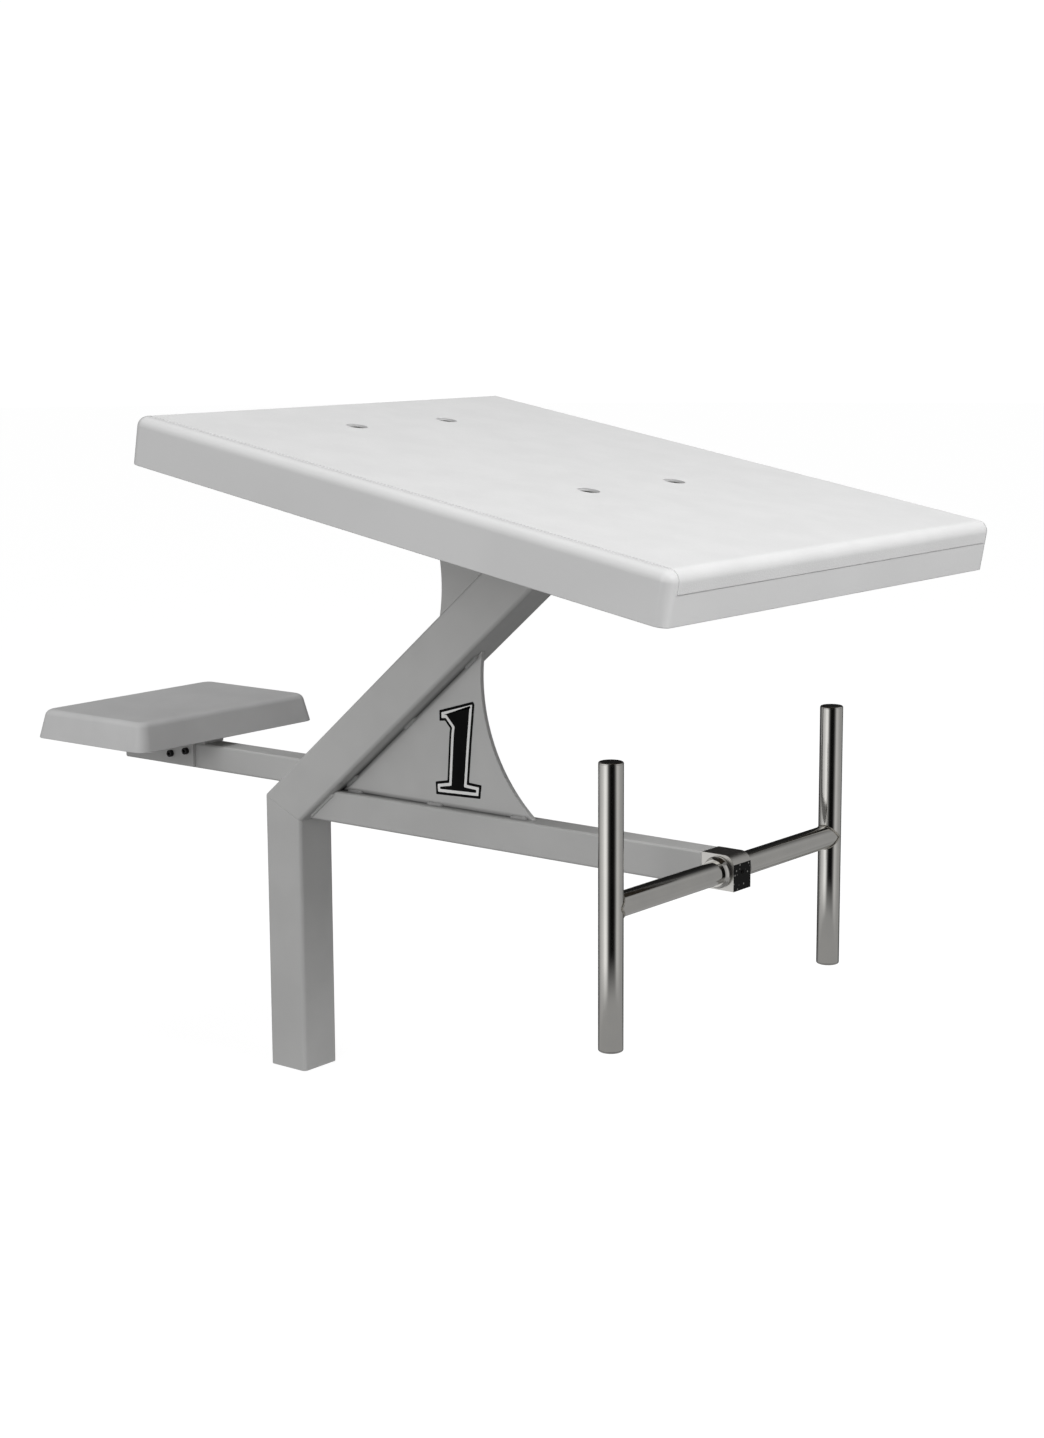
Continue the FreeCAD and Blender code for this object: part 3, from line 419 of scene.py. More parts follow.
def fastenerTree():  # one master on every point, all turned the same way
    tree, given = startTree("fastenersOnPoints", [("Master", "NodeSocketObject", None),
                                                  ("Turn", "NodeSocketRotation", None),
                                                  ("Size", "NodeSocketFloat", 1.0),
                                                  ("Finish", "NodeSocketMaterial", None)])
    master = addNode(tree, "GeometryNodeObjectInfo", {"Object": given["Master"]}).outputs["Geometry"]
    spots = addNode(tree, "GeometryNodeInstanceOnPoints", {"Points": given["Geometry"], "Instance": master,
                                                           "Rotation": given["Turn"], "Scale": given["Size"]})
    return endTree(tree, spots, given["Finish"])


def weldTree():  # every edge of the path mesh becomes one rippled bead
    tree, given = startTree("weldBeadOnPath", [("Bead Radius", "NodeSocketFloat", 0.003),
                                               ("Ripple Pitch", "NodeSocketFloat", 0.0022),
                                               ("Ripple Depth", "NodeSocketFloat", 0.14),
                                               ("End Taper", "NodeSocketFloat", 0.12),
                                               ("Seed", "NodeSocketInt", 4),
                                               ("Finish", "NodeSocketMaterial", None)])
    line = addNode(tree, "GeometryNodeMeshToCurve", {0: given["Geometry"]})
    fine = addNode(tree, "GeometryNodeResampleCurve", {"Curve": line, "Length": 0.55 * mm}, mode="LENGTH")
    along = addNode(tree, "GeometryNodeSplineParameter").outputs
    away = addNode(tree, "ShaderNodeMath", {0: 1.0, 1: along["Factor"]}, operation="SUBTRACT")
    nearEnd = addNode(tree, "ShaderNodeMath", {0: along["Factor"], 1: away}, operation="MINIMUM")
    share = addNode(tree, "ShaderNodeMapRange", {"Value": nearEnd, "From Max": given["End Taper"],
                                                 "To Min": 0.35, "To Max": 0.86})
    index = addNode(tree, "GeometryNodeInputIndex")
    unruly = addNode(tree, "FunctionNodeRandomValue", {2: 0.94, 3: 1.06, "ID": index, "Seed": given["Seed"]})
    radius = along["Length"]
    for operation, second in (("DIVIDE", given["Ripple Pitch"]), ("FRACT", 0.0), ("MULTIPLY", math.pi),
                              ("SINE", 0.0), ("MULTIPLY", given["Ripple Depth"]), ("ADD", unruly),
                              ("MULTIPLY", share), ("MULTIPLY", given["Bead Radius"])):
        radius = addNode(tree, "ShaderNodeMath", {0: radius, 1: second}, operation=operation)
    ring = addNode(tree, "GeometryNodeCurvePrimitiveCircle", {"Resolution": 14, "Radius": 1.0})
    tube = addNode(tree, "GeometryNodeCurveToMesh", {"Curve": fine, "Profile Curve": ring, "Scale": radius,
                                                     "Fill Caps": True})
    smooth = addNode(tree, "GeometryNodeSetShadeSmooth", {0: tube})
    return endTree(tree, smooth, given["Finish"])


fastenersOnPoints = fastenerTree()
weldBeadOnPath = weldTree()


def grownMesh(name, points, edges, tree, values):  # runs a tree on a path and keeps a plain mesh
    seedMesh = bpy.data.meshes.new(name + "Path")
    seedMesh.from_pydata([tuple(p) for p in points], edges, [])
    seed = bpy.data.objects.new(name + "Path", seedMesh)
    bpy.context.collection.objects.link(seed)
    modifier = seed.modifiers.new("grow", "NODES")
    modifier.node_group = tree
    for item in tree.interface.items_tree:
        if item.item_type == "SOCKET" and item.in_out == "INPUT" and item.name in values:
            modifier[item.identifier] = values[item.name]
    graph = bpy.context.evaluated_depsgraph_get()
    mesh = bpy.data.meshes.new_from_object(seed.evaluated_get(graph), depsgraph=graph)
    mesh.name = name
    bpy.data.objects.remove(seed)
    return mesh


def fasteners(name, master, points, turn, material=boltSteel, **given):
    single = bpy.data.objects.new(name + "Master", finishMesh(name + "Master", master, material))
    values = {"Master": single, "Turn": turn, "Size": 1.0, "Finish": material}
    addPiece(name, grownMesh(name, points, [], fastenersOnPoints, values), **given)
    bpy.data.objects.remove(single)


def welds(name, paths, radius, material=frameCoat, body="root", **values):
    points, edges = [], []
    for path in paths:
        first = len(points)
        points += path
        edges += [(first + i, first + i + 1) for i in range(len(path) - 1)]
    given = {"Bead Radius": radius, "Finish": material} | values
    addPiece(name, grownMesh(name, points, edges, weldBeadOnPath, given), body=body)


# ---- readings from the CAD frame that many pieces share

post = {"size": 57.15 * mm, "wall": 3.2 * mm, "corner": 5 * mm, "rise": 40.65, "edge": 0.45 * mm}
deck = {"length": 711 * mm, "width": 610 * mm, "height": 54 * mm, "tilt": 10.0, "corner": 14 * mm,
        "edge": 12.5 * mm, "wall": 5 * mm, "core": 17 * mm, "plate": 6 * mm}
half = post["size"] / 2
rise = math.radians(post["rise"])
mitre = (math.pi / 2 - rise) / 2
tilt = math.radians(deck["tilt"])
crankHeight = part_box("leg_post")[1].z - half * math.tan(mitre)
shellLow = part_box("platform_shell")[0]
deckOrigin = Vector((shellLow.x, 0, shellLow.z + deck["length"] * math.sin(tilt)))
deckFrame = Matrix.Translation(deckOrigin) @ Matrix.Rotation(tilt, 4, "Y")
deckNormal = Vector((math.sin(tilt), 0, math.cos(tilt)))
plateUnder = deck["height"] - deck["wall"] - deck["core"] - deck["plate"]
plateReach = deckOrigin.dot(deckNormal) + plateUnder
slopeWay = Vector((math.cos(rise), 0, math.sin(rise)))


def crankPoint(side):  # the mitre's corner on a line at a distance in front of the leg's centre
    return Vector((side, 0, crankHeight - side * math.tan(mitre)))


def slopeAt(side, z):  # how far forward that line of the sloping tube is at a height
    foot = crankPoint(side)
    return foot.x + (z - foot.z) / math.tan(rise)


def slopeTop(point):  # where a line up the slope meets the mounting plate
    return point + slopeWay * ((plateReach - point.dot(deckNormal)) / slopeWay.dot(deckNormal))


# ---- painted shade: the coat darkened in the corners beside the stitch welds, where the webs meet the tubes

paintedShade = {"out": 11 * mm, "up": 5.5 * mm, "reach": 75 * mm, "weak": 0.66, "strong": 1.0, "colour": "#141316",
         "fade": 6 * mm, "short": 3 * mm}
webPlate = {"radius": 196 * mm, "half": 3 * mm, "edge": 0.7 * mm, "steps": 40}
frontWebLow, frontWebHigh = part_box("front_web_plate")
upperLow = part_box("upper_web_plate")[0]
webCorner = Vector((frontWebLow.x, 0, frontWebLow.z))


# the grey coat with painted shade: near-black along each web seam, deepest near the web's acute corner
def shadePaintedCoat(name):
    material = powderCoat(name, *greyCoat)
    tree = material.node_tree
    place = addNode(tree, "ShaderNodeTexCoord").outputs["Object"]
    parts = addNode(tree, "ShaderNodeSeparateXYZ", {0: place}).outputs
    across = addNode(tree, "ShaderNodeMath", {0: parts["Y"]}, operation="ABSOLUTE")
    fromCorner = addNode(tree, "ShaderNodeVectorMath", {0: place, 1: webCorner}, operation="DISTANCE")
    slopeNormal = Vector((math.sin(rise), 0, -math.cos(rise)))
    tipX, tipZ = frontWebHigh.x - paintedShade["short"], frontWebHigh.z - paintedShade["short"]
    seams = [(webCorner, zAxis, parts["X"], tipX - paintedShade["fade"], tipX),  # a plane, and where its seam ends
             (crankPoint(half), slopeNormal, parts["Z"], tipZ - paintedShade["fade"], tipZ),
             (crankPoint(-half), slopeNormal, parts["Z"], upperLow.z + paintedShade["fade"], upperLow.z)]
    darkest = 0.0
    for point, normal, along, near, far in seams:
        reach = addNode(tree, "ShaderNodeVectorMath", {0: place, 1: normal}, operation="DOT_PRODUCT")
        gap = addNode(tree, "ShaderNodeMath", {0: reach, 1: point.dot(normal)}, operation="SUBTRACT")
        off = addNode(tree, "ShaderNodeMath", {0: gap}, operation="ABSOLUTE")
        close = addNode(tree, "ShaderNodeMapRange", {"Value": off, "From Max": paintedShade["up"], "To Min": 1.0,
                                                     "To Max": 0.0})
        within = addNode(tree, "ShaderNodeMapRange", {"Value": along, "From Min": near, "From Max": far,
                                                      "To Min": 1.0, "To Max": 0.0})
        seam = addNode(tree, "ShaderNodeMath", {0: close, 1: within}, operation="MULTIPLY")
        darkest = addNode(tree, "ShaderNodeMath", {0: seam, 1: darkest}, operation="MAXIMUM")
    mask = darkest
    fades = [(across, (webPlate["half"], webPlate["half"] + paintedShade["out"]), (1.0, 0.0)),
             (fromCorner, (0.0, paintedShade["reach"]), (paintedShade["strong"], paintedShade["weak"]))]
    for value, (near, far), (start, finish) in fades:
        share = addNode(tree, "ShaderNodeMapRange", {"Value": value, "From Min": near, "From Max": far,
                                                     "To Min": start, "To Max": finish})
        mask = addNode(tree, "ShaderNodeMath", {0: mask, 1: share}, operation="MULTIPLY")
    # painted shade laid over the coat by the seam mask
    overpaint(tree, mask, hexColour(paintedShade["colour"]))
    return material


# painted shade in the web corners, for the sloping post, front arm, webs and their welds
cornerShadeCoat = shadePaintedCoat("greyPowderCoatCorners")


# ---- cranked post

def hollowTube(name, outer, inner, startOf, endOf, edge, coat=frameCoat):
    bm = bmesh.new()
    rings = [addRing(bm, [end(a, b) for a, b in outline])
             for outline, end in ((outer, startOf), (outer, endOf), (inner, endOf), (inner, startOf))]
    skin(bm, rings, closed=True)
    breakEdges(makePiece(name, bm, coat), edge)


outerSquare = roundedRectangle(post["size"], post["size"], post["corner"])
innerSide = post["size"] - 2 * post["wall"]
innerSquare = roundedRectangle(innerSide, innerSide, post["corner"] - post["wall"])


def legTop(a, b):
    return crankPoint(a) + b * yAxis


def slopeEnd(a, b):
    return slopeTop(crankPoint(a)) + b * yAxis


def legFoot(a, b):
    return Vector((a, b, 0))


hollowTube("legPost", outerSquare, innerSquare, legFoot, legTop, post["edge"])
hollowTube("slopingPost", outerSquare, innerSquare, legTop, slopeEnd, post["edge"], cornerShadeCoat)


# ---- arms, coped to the post

armTube = {"wall": 3 * mm, "corner": 3 * mm, "inner": 0.6 * mm, "edge": 0.4 * mm, "steps": 6}


def arm(name, side, forward, coat):
    low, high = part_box(cadName(name))
    middle = (0.0, (low.z + high.z) / 2)
    width, height = high.y - low.y, high.z - low.z
    outer = roundedRectangle(width, height, armTube["corner"], armTube["steps"], middle)
    inner = roundedRectangle(width - 2 * armTube["wall"], height - 2 * armTube["wall"], armTube["inner"],
                             armTube["steps"], middle)

    def onPost(a, b):  # the cope lies on the sloping post's face
        return Vector((slopeAt(side, b), a, b))

    def onEnd(a, b):
        return Vector((high.x if forward else low.x, a, b))
    hollowTube(name, outer, inner, onPost, onEnd, armTube["edge"], coat)


arm("frontArm", half, True, cornerShadeCoat)
arm("rearArm", -half, False, frameCoat)
softEdge = {"sheet": 0.5 * mm, "board": 0.6 * mm, "plate": 0.6 * mm}
for name, kind in (("rearArmPlug", "sheet"), ("legFootCap", "sheet"), ("mountingPlate", "plate")):
    refined(name, frameCoat, softEdge[kind])
print("post and arms made")


# ---- web plates and their stitch welds

def webCurve(start, finish):  # the web's hollow edge, an arc through two points
    a, b = Vector(start), Vector(finish)
    middle, chord = (a + b) / 2, b - a
    square = Vector((chord.y, -chord.x)).normalized()
    centre = middle + square * math.sqrt(webPlate["radius"] ** 2 - chord.length_squared / 4)
    first = math.degrees(math.atan2(a.y - centre.y, a.x - centre.x))
    last = math.degrees(math.atan2(b.y - centre.y, b.x - centre.x))
    last += 360 * round((first - last) / 360)
    return arc(centre, webPlate["radius"], first, last, webPlate["steps"])


webRoot = (frontWebLow.x, frontWebLow.z)
webTip = (frontWebHigh.x, frontWebLow.z)
webTop = (frontWebLow.x + (frontWebHigh.z - frontWebLow.z) / math.tan(rise), frontWebHigh.z)
upperFoot = (slopeAt(-half, upperLow.z), upperLow.z)
upperRear = (upperLow.x, (plateReach - upperLow.x * math.sin(tilt)) / math.cos(tilt))
upperFront = slopeTop(crankPoint(-half)).xz


def web(name, outline):
    bm = bmesh.new()
    prism(bm, outline, -webPlate["half"], webPlate["half"])
    breakEdges(makePiece(name, bm, cornerShadeCoat), webPlate["edge"])


web("frontWebPlate", [webRoot] + webCurve(webTip, webTop))
web("upperWebPlate", [tuple(upperFront)] + webCurve(upperRear, upperFoot))

stitch = {"length": 24 * mm, "end": 9 * mm, "bead": 3.6 * mm, "count": 3}


def stitchPaths(start, finish):  # evenly spaced stitches on both faces of a web
    a, b = Vector((start[0], 0, start[1])), Vector((finish[0], 0, finish[1]))
    way = (b - a).normalized()
    room = (b - a).length - 2 * stitch["end"] - stitch["length"]
    paths = []
    for i in range(stitch["count"]):
        begin = a + way * (stitch["end"] + room * i / (stitch["count"] - 1))
        for side in (-1, 1):
            shift = side * webPlate["half"] * yAxis
            paths.append([begin + shift, begin + way * stitch["length"] + shift])
    return paths


welds("frontWebWelds", stitchPaths(webRoot, webTip) + stitchPaths(webRoot, webTop), stitch["bead"],
      cornerShadeCoat)
welds("upperWebWelds", stitchPaths(upperFoot, upperFront), stitch["bead"], cornerShadeCoat)

bead = {"arm": 3.0 * mm, "top": 3.2 * mm, "taper": 0.06}


def copePaths(node, side):  # down both sides of an arm where it meets the post
    low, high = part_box(node)
    ends = [Vector((slopeAt(side, z), 0, z)) for z in (low.z + armTube["corner"], high.z - armTube["corner"])]
    return [[end + (high.y * hand) * yAxis for end in ends] for hand in (-1, 1)]


postTop = [slopeTop(crankPoint(side * (half - post["corner"]))) for side in (-1, 1)]
platePaths = [[end + hand * half * yAxis for end in postTop] for hand in (-1, 1)]
for name, paths, size in (("frontArmWelds", copePaths("front_arm", half), bead["arm"]),
                          ("rearArmWelds", copePaths("rear_arm", -half), bead["arm"]),
                          ("mountingPlateWelds", platePaths, bead["top"])):
    welds(name, paths, size, **{"End Taper": bead["taper"]})
print("webs and welds made")


# ---- lane number: black border, white line and black figure, one film on another

decal = {"width": 68 * mm, "height": 113 * mm, "border": 3.1 * mm, "line": 3.5 * mm,
         "layers": (0.25 * mm, 0.4 * mm, 0.55 * mm), "round": 0.9 * mm}
figureShares = [(-0.49, -0.50), (0.47, -0.48), (0.50, -0.34), (0.23, -0.33), (0.29, 0.07), (0.36, 0.47),
                (0.33, 0.50), (-0.40, 0.37), (-0.40, 0.26), (-0.28, 0.27), (-0.17, 0.20), (-0.185, 0.15),
                (-0.24, -0.34), (-0.50, -0.37)]


def drawnIn(points, distance):  # every side of the outline moved inward by the same distance
    count, result = len(points), []
    for i in range(count):
        before, here, after = (Vector(points[j % count]) for j in (i - 1, i, i + 1))
        first, second = (here - before).normalized(), (after - here).normalized()
        firstIn, secondIn = Vector((-first.y, first.x)), Vector((-second.y, second.x))
        mitreWay = (firstIn + secondIn).normalized()
        result.append(here + mitreWay * (distance / max(mitreWay.dot(firstIn), 0.35)))
    return result


def roundedCorners(points, radius, steps=4):  # each corner becomes a short quadratic curve
    count, result = len(points), []
    for i in range(count):
        before, here, after = (Vector(points[j % count]) for j in (i - 1, i, i + 1))
        reach = min(radius, (before - here).length * 0.4, (after - here).length * 0.4)
        start = here + (before - here).normalized() * reach
        finish = here + (after - here).normalized() * reach
        for step in range(steps + 1):
            t = step / steps
            result.append(start * (1 - t) ** 2 + here * (2 * t * (1 - t)) + finish * t ** 2)
    return result


decalLow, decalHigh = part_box("lane_number_decal")
figureMiddle = ((decalLow.x + decalHigh.x) / 2, (decalLow.z + decalHigh.z) / 2)
figure = [(figureMiddle[0] + decal["width"] * x, figureMiddle[1] + decal["height"] * z)
          for x, z in figureShares]
layers = [("laneNumberBorder", 0.0, blackVinyl), ("laneNumberLine", decal["border"], whiteVinyl),
          ("laneNumberFigure", decal["border"] + decal["line"], blackVinyl)]
for (layerName, inset, film), thickness in zip(layers, decal["layers"]):
    bm = bmesh.new()
    outline = roundedCorners(drawnIn(figure, inset), decal["round"])
    prism(bm, [tuple(p) for p in outline], decalHigh.y - thickness, decalHigh.y)
    makePiece(layerName, bm, film, "lane_number_decal")


# ---- deck: shell, tread and core

relief = {"lip": 0.9 * mm, "soft": 1.0 * mm, "cornerSteps": 12, "edgeSteps": 10}
boltSpots = {"rear": 116.4 * mm, "pitch": 325.5 * mm, "spread": 153.6 * mm, "recess": 24 * mm,
             "depth": 14 * mm}
boltPlaces = [(boltSpots["rear"] + i * boltSpots["pitch"], side * boltSpots["spread"] / 2)
              for i in (0, 1) for side in (-1, 1)]


def deckRing(bm, inset, height):  # the deck's outline drawn in, at a height above its lower edge
    outline = roundedRectangle(deck["length"] - 2 * inset, deck["width"] - 2 * inset, deck["corner"] - inset,
                               relief["cornerSteps"], (deck["length"] / 2, 0))
    return addRing(bm, [(u, v, height) for u, v in outline])


def slabRings(bm, inset):  # walls and round top edge of the slab, drawn in everywhere
    rings = [deckRing(bm, inset, 0.0)]
    radius = deck["edge"] - inset
    for i in range(relief["edgeSteps"] + 1):
        turn = math.pi / 2 * i / relief["edgeSteps"]
        shrink = inset + radius * (1 - math.cos(turn))
        rings.append(deckRing(bm, shrink, deck["height"] - deck["edge"] + radius * math.sin(turn)))
    return rings


def recessCutters(radius):
    below, drill = 1 * mm, 40 * mm  # under the recess floor, and how far the cutter reaches up

    def cut(bm):
        for u, v in boltPlaces:
            where = deckFrame @ Matrix.Translation((u, v, deck["height"] - boltSpots["depth"] - below))
            lathe([(0, 0), (radius, 0), (radius, drill), (0, drill)], 40, where, bm)
    return cut


bm = bmesh.new()
openShell(slabRings(bm, relief["lip"]), slabRings(bm, deck["wall"]), bm)
bmesh.ops.transform(bm, matrix=deckFrame, verts=bm.verts)
shell = makePiece("platformShell", bm, deckGelcoat)
carve(shell, [recessCutters(boltSpots["recess"] / 2)])
breakEdges(shell, relief["soft"])

tread = {"margin": 14.5 * mm, "drop": 23 * mm, "thick": 1.5 * mm, "edge": 0.4 * mm}


def treadRows(bm, depth):  # rear edge, flat top, round front edge and the lip below it
    reach = deck["width"] / 2 - tread["margin"]
    columns = [reach * (i / 4 - 1) for i in range(9)]
    rows = [[Vector((tread["margin"], v, deck["height"] - depth)) for v in columns]]
    radius = deck["edge"] - depth
    for i in range(relief["edgeSteps"] + 1):
        turn = math.pi / 2 * (1 - i / relief["edgeSteps"])
        inset = depth + radius * (1 - math.cos(turn))
        height = deck["height"] - deck["edge"] + radius * math.sin(turn)
        rows.append([Vector((deck["length"] - inset, v, height)) for v in columns])
    rows.append([Vector((deck["length"] - depth, v, deck["height"] - tread["drop"])) for v in columns])
    return [[bm.verts.new(p) for p in row] for row in rows]


bm = bmesh.new()
outside, inside = treadRows(bm, 0.0), treadRows(bm, tread["thick"])
for sheet in (outside, inside):
    for low, high in zip(sheet, sheet[1:]):
        for i in range(len(low) - 1):
            bm.faces.new((low[i], low[i + 1], high[i + 1], high[i]))
border = [(row[0], other[0]) for row, other in zip(outside, inside)]
border += list(zip(outside[-1], inside[-1]))[1:]
border += [(row[-1], other[-1]) for row, other in zip(outside[-2::-1], inside[-2::-1])]
border += list(zip(outside[0], inside[0]))[-2:0:-1]
for (a, b), (c, d) in zip(border, border[1:] + border[:1]):
    bm.faces.new((a, b, d, c))
bmesh.ops.transform(bm, matrix=deckFrame, verts=bm.verts)
treadSheet = makePiece("treadSkin", bm, deckGrit)
carve(treadSheet, [recessCutters(boltSpots["recess"] / 2)])
breakEdges(treadSheet, tread["edge"])
refined("deckCoreBoard", coreWood, softEdge["board"])
print("deck made")


# ---- fasteners

def hexRing(flats, height, cap=1e9, count=48, turn=0.0):  # a hexagon as a ring, no wider than cap anywhere
    ring = []
    for i in range(count):
        a = math.tau * i / count + turn
        sector = (a - turn) % (math.pi / 3) - math.pi / 6
        radius = min(flats / 2 / math.cos(sector), cap)
        ring.append((radius * math.cos(a), radius * math.sin(a), height))
    return ring


def hexNut(flats, height, bore):  # chamfered on both faces
    bm = bmesh.new()
    cap, slope = flats / 2 * 0.98, math.tan(math.radians(28))

    def chamfer(level, way):
        ring = hexRing(flats, level)
        return [(x, y, z - way * (math.hypot(x, y) - cap) * slope) for x, y, z in ring]
    levels = [circle(bore / 2, 0), hexRing(flats, 0, cap), chamfer(0, -1), chamfer(height, 1),
              hexRing(flats, height, cap), circle(bore / 2, height)]
    skin(bm, [addRing(bm, level) for level in levels], closed=True)
    return bm


def loft(levels):  # a closed turned or socketed shape from rings of the same count
    bm = bmesh.new()
    rings = [addRing(bm, level) for level in levels]
    skin(bm, rings)
    bm.faces.new(rings[0])
    bm.faces.new(rings[-1])
    return bm


def socketScrew(head, headHeight, socket, size, length, thread, pitch, knurl=0.0):  # along +Z, head on top
    def knurled(height):
        pairs = zip(circle(head / 2, height), circle(head / 2 - knurl, height))
        return [pair[i % 2] for i, pair in enumerate(pairs)]
    soft = head * 0.045
    levels = [hexRing(socket, headHeight * 0.45), hexRing(socket, headHeight),
              circle(head / 2 - soft, headHeight), circle(head / 2 - soft * 0.3, headHeight - soft * 0.4),
              knurled(headHeight - soft * 1.4), knurled(soft), circle(head / 2 - soft * 0.6),
              circle(size / 2), circle(size / 2, thread - length)]
    for i in range(int(thread / pitch)):
        z = thread - length - i * pitch
        levels += [circle(size / 2, z - pitch * 0.15), circle(size / 2 - pitch * 0.55, z - pitch * 0.5),
                   circle(size / 2, z - pitch * 0.9)]
    return loft(levels + [circle(size / 2 - pitch * 0.7, -length)])


def washer(outer, bore, thick):
    soft = thick * 0.25
    profile = [(bore / 2, 0), (outer / 2 - soft, 0), (outer / 2, soft), (outer / 2, thick - soft),
               (outer / 2 - soft, thick), (bore / 2, thick)]
    return lathe(profile, 40)


deckBolt = {"size": 10 * mm, "head": 16 * mm, "headHeight": 10 * mm, "socket": 8 * mm, "tail": 5 * mm,
            "washer": 20 * mm, "washerThick": 2 * mm, "nut": 17 * mm, "nutHeight": 8 * mm, "pitch": 1.5 * mm,
            "thread": 15 * mm, "knurl": 0.25 * mm}
seat = deck["height"] - boltSpots["depth"]
shank = seat - plateUnder + 2 * deckBolt["washerThick"] + deckBolt["nutHeight"] + deckBolt["tail"]
leaning = (0.0, tilt, 0.0)


def onDeck(height):
    return [deckFrame @ Vector((u, v, height)) for u, v in boltPlaces]


boltMaster = socketScrew(deckBolt["head"], deckBolt["headHeight"], deckBolt["socket"], deckBolt["size"],
                         shank, deckBolt["thread"], deckBolt["pitch"], deckBolt["knurl"])
fasteners("deckBolts", boltMaster, onDeck(seat + deckBolt["washerThick"]), leaning)
underWasher = plateUnder - deckBolt["washerThick"]
for name, height in (("deckBoltHeadWashers", seat), ("deckBoltNutWashers", underWasher)):
    fasteners(name, washer(deckBolt["washer"], deckBolt["size"] + 0.6 * mm, deckBolt["washerThick"]),
              onDeck(height), leaning)
fasteners("deckBoltNuts", hexNut(deckBolt["nut"], deckBolt["nutHeight"], deckBolt["size"] + 0.1 * mm),
          onDeck(underWasher - deckBolt["nutHeight"]), leaning)

cheekBolt = {"size": 5 * mm, "head": 8.5 * mm, "headHeight": 5 * mm, "socket": 4 * mm, "thread": 12 * mm,
             "nut": 8 * mm, "nutHeight": 4.7 * mm, "pitch": 0.8 * mm, "knurl": 0.12 * mm}
crossLow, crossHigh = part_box("bracket_bolts")
headReach = cheekBolt["head"] / 2
cheekPlaces = [(crossLow.x + headReach, crossLow.z + headReach),
               (crossHigh.x - headReach, crossHigh.z - headReach)]
cheekFace = crossLow.y + cheekBolt["headHeight"]
boltMaster = socketScrew(cheekBolt["head"], cheekBolt["headHeight"], cheekBolt["socket"], cheekBolt["size"],
                         crossHigh.y - cheekFace, cheekBolt["thread"], cheekBolt["pitch"], cheekBolt["knurl"])
nutMaster = hexNut(cheekBolt["nut"], cheekBolt["nutHeight"], cheekBolt["size"] + 0.1 * mm)
for name, master, face, turn in (("bracketBolts", boltMaster, cheekFace, math.pi / 2),
                                 ("bracketNuts", nutMaster, -cheekFace, -math.pi / 2)):
    fasteners(name, master, [Vector((x, face, z)) for x, z in cheekPlaces], (turn, 0.0, 0.0), blackSteel)


# ---- rear step and its bracket

step = {"draft": 8 * mm, "wall": 5 * mm, "corner": 15 * mm, "edge": 9 * mm, "soft": 0.9 * mm,
        "cornerSteps": 10, "edgeSteps": 8}
stepLow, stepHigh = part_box("step_shell")
stepSize = stepHigh - stepLow
stepMiddle = (stepLow + stepHigh) / 2
lean = math.atan(step["draft"] / stepSize.z)


def stepRings(bm, shrink):  # drafted wall, then a round edge that runs into the flat top
    top = stepSize.z - shrink
    radius = step["edge"] - shrink
    centreInset = shrink + (radius + (top - radius) * math.sin(lean)) / math.cos(lean)
    profile = [(shrink, 0.0)]
    for i in range(step["edgeSteps"] + 1):
        turn = lean + (math.pi / 2 - lean) * i / step["edgeSteps"]
        profile.append((centreInset - radius * math.cos(turn), top - radius + radius * math.sin(turn)))
    rings = []
    for inset, height in profile:
        outline = roundedRectangle(stepSize.x - 2 * inset, stepSize.y - 2 * inset,
                                   step["corner"] - 0.45 * inset, step["cornerSteps"], stepMiddle[:2])
        rings.append(addRing(bm, [(x, y, stepLow.z + height) for x, y in outline]))
    return rings


bm = bmesh.new()
openShell(stepRings(bm, 0.0), stepRings(bm, step["wall"]), bm)
breakEdges(makePiece("stepShell", bm, stepPlastic), step["soft"])
refined("stepCoreBoard", coreWood, softEdge["sheet"])
refined("stepBracket", frameCoat, softEdge["sheet"])

stepScrew = {"size": 5 * mm, "head": 9 * mm, "headHeight": 3 * mm, "socket": 3 * mm, "thread": 8 * mm,
             "pitch": 1.0 * mm}
screwLow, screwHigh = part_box("step_screws")
screwReach = stepScrew["head"] / 2
underStep = [Vector((x, y, screwLow.z + stepScrew["headHeight"]))
             for x in (screwLow.x + screwReach, screwHigh.x - screwReach)
             for y in (screwLow.y + screwReach, screwHigh.y - screwReach)]
screwMaster = socketScrew(stepScrew["head"], stepScrew["headHeight"], stepScrew["socket"], stepScrew["size"],
                          screwHigh.z - underStep[0].z, stepScrew["thread"], stepScrew["pitch"])
fasteners("stepScrews", screwMaster, underStep, (math.pi, 0.0, 0.0))
print("step made")


# ---- backstroke grip bar

grip = {"size": 25.4 * mm, "wall": 2 * mm, "edge": 0.5 * mm, "cap": 2.2 * mm, "capRound": 1.8 * mm,
        "groove": 0.35 * mm, "crown": 0.35 * mm, "bead": 1.5 * mm}
rightLow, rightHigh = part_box("right_grip_tube")
leftLow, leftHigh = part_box("left_grip_tube")
barX = (rightLow.x + rightHigh.x) / 2
barZ = (rightLow.z + rightHigh.z) / 2
gripReach = (leftLow.y + leftHigh.y) / 2
gripRadius = grip["size"] / 2


def tubeProfile(outer, inner, low, high, edge):  # a tube wall with its outer ends rounded over
    lowEnd = [(inner, low), (outer - edge, low), (outer - edge * 0.3, low + edge * 0.3), (outer, low + edge)]
    return lowEnd + [(outer, high - edge), (outer - edge * 0.3, high - edge * 0.3), (outer - edge, high),
                     (inner, high)]


for name, side in (("rightGripTube", -1), ("leftGripTube", 1)):
    profile = tubeProfile(gripRadius, gripRadius - grip["wall"], rightLow.z, rightHigh.z, grip["edge"])
    bm = lathe(profile, 96, Matrix.Translation((barX, side * gripReach, 0)))
    makePiece(name, bm, gripSteel, body="grip_bar")

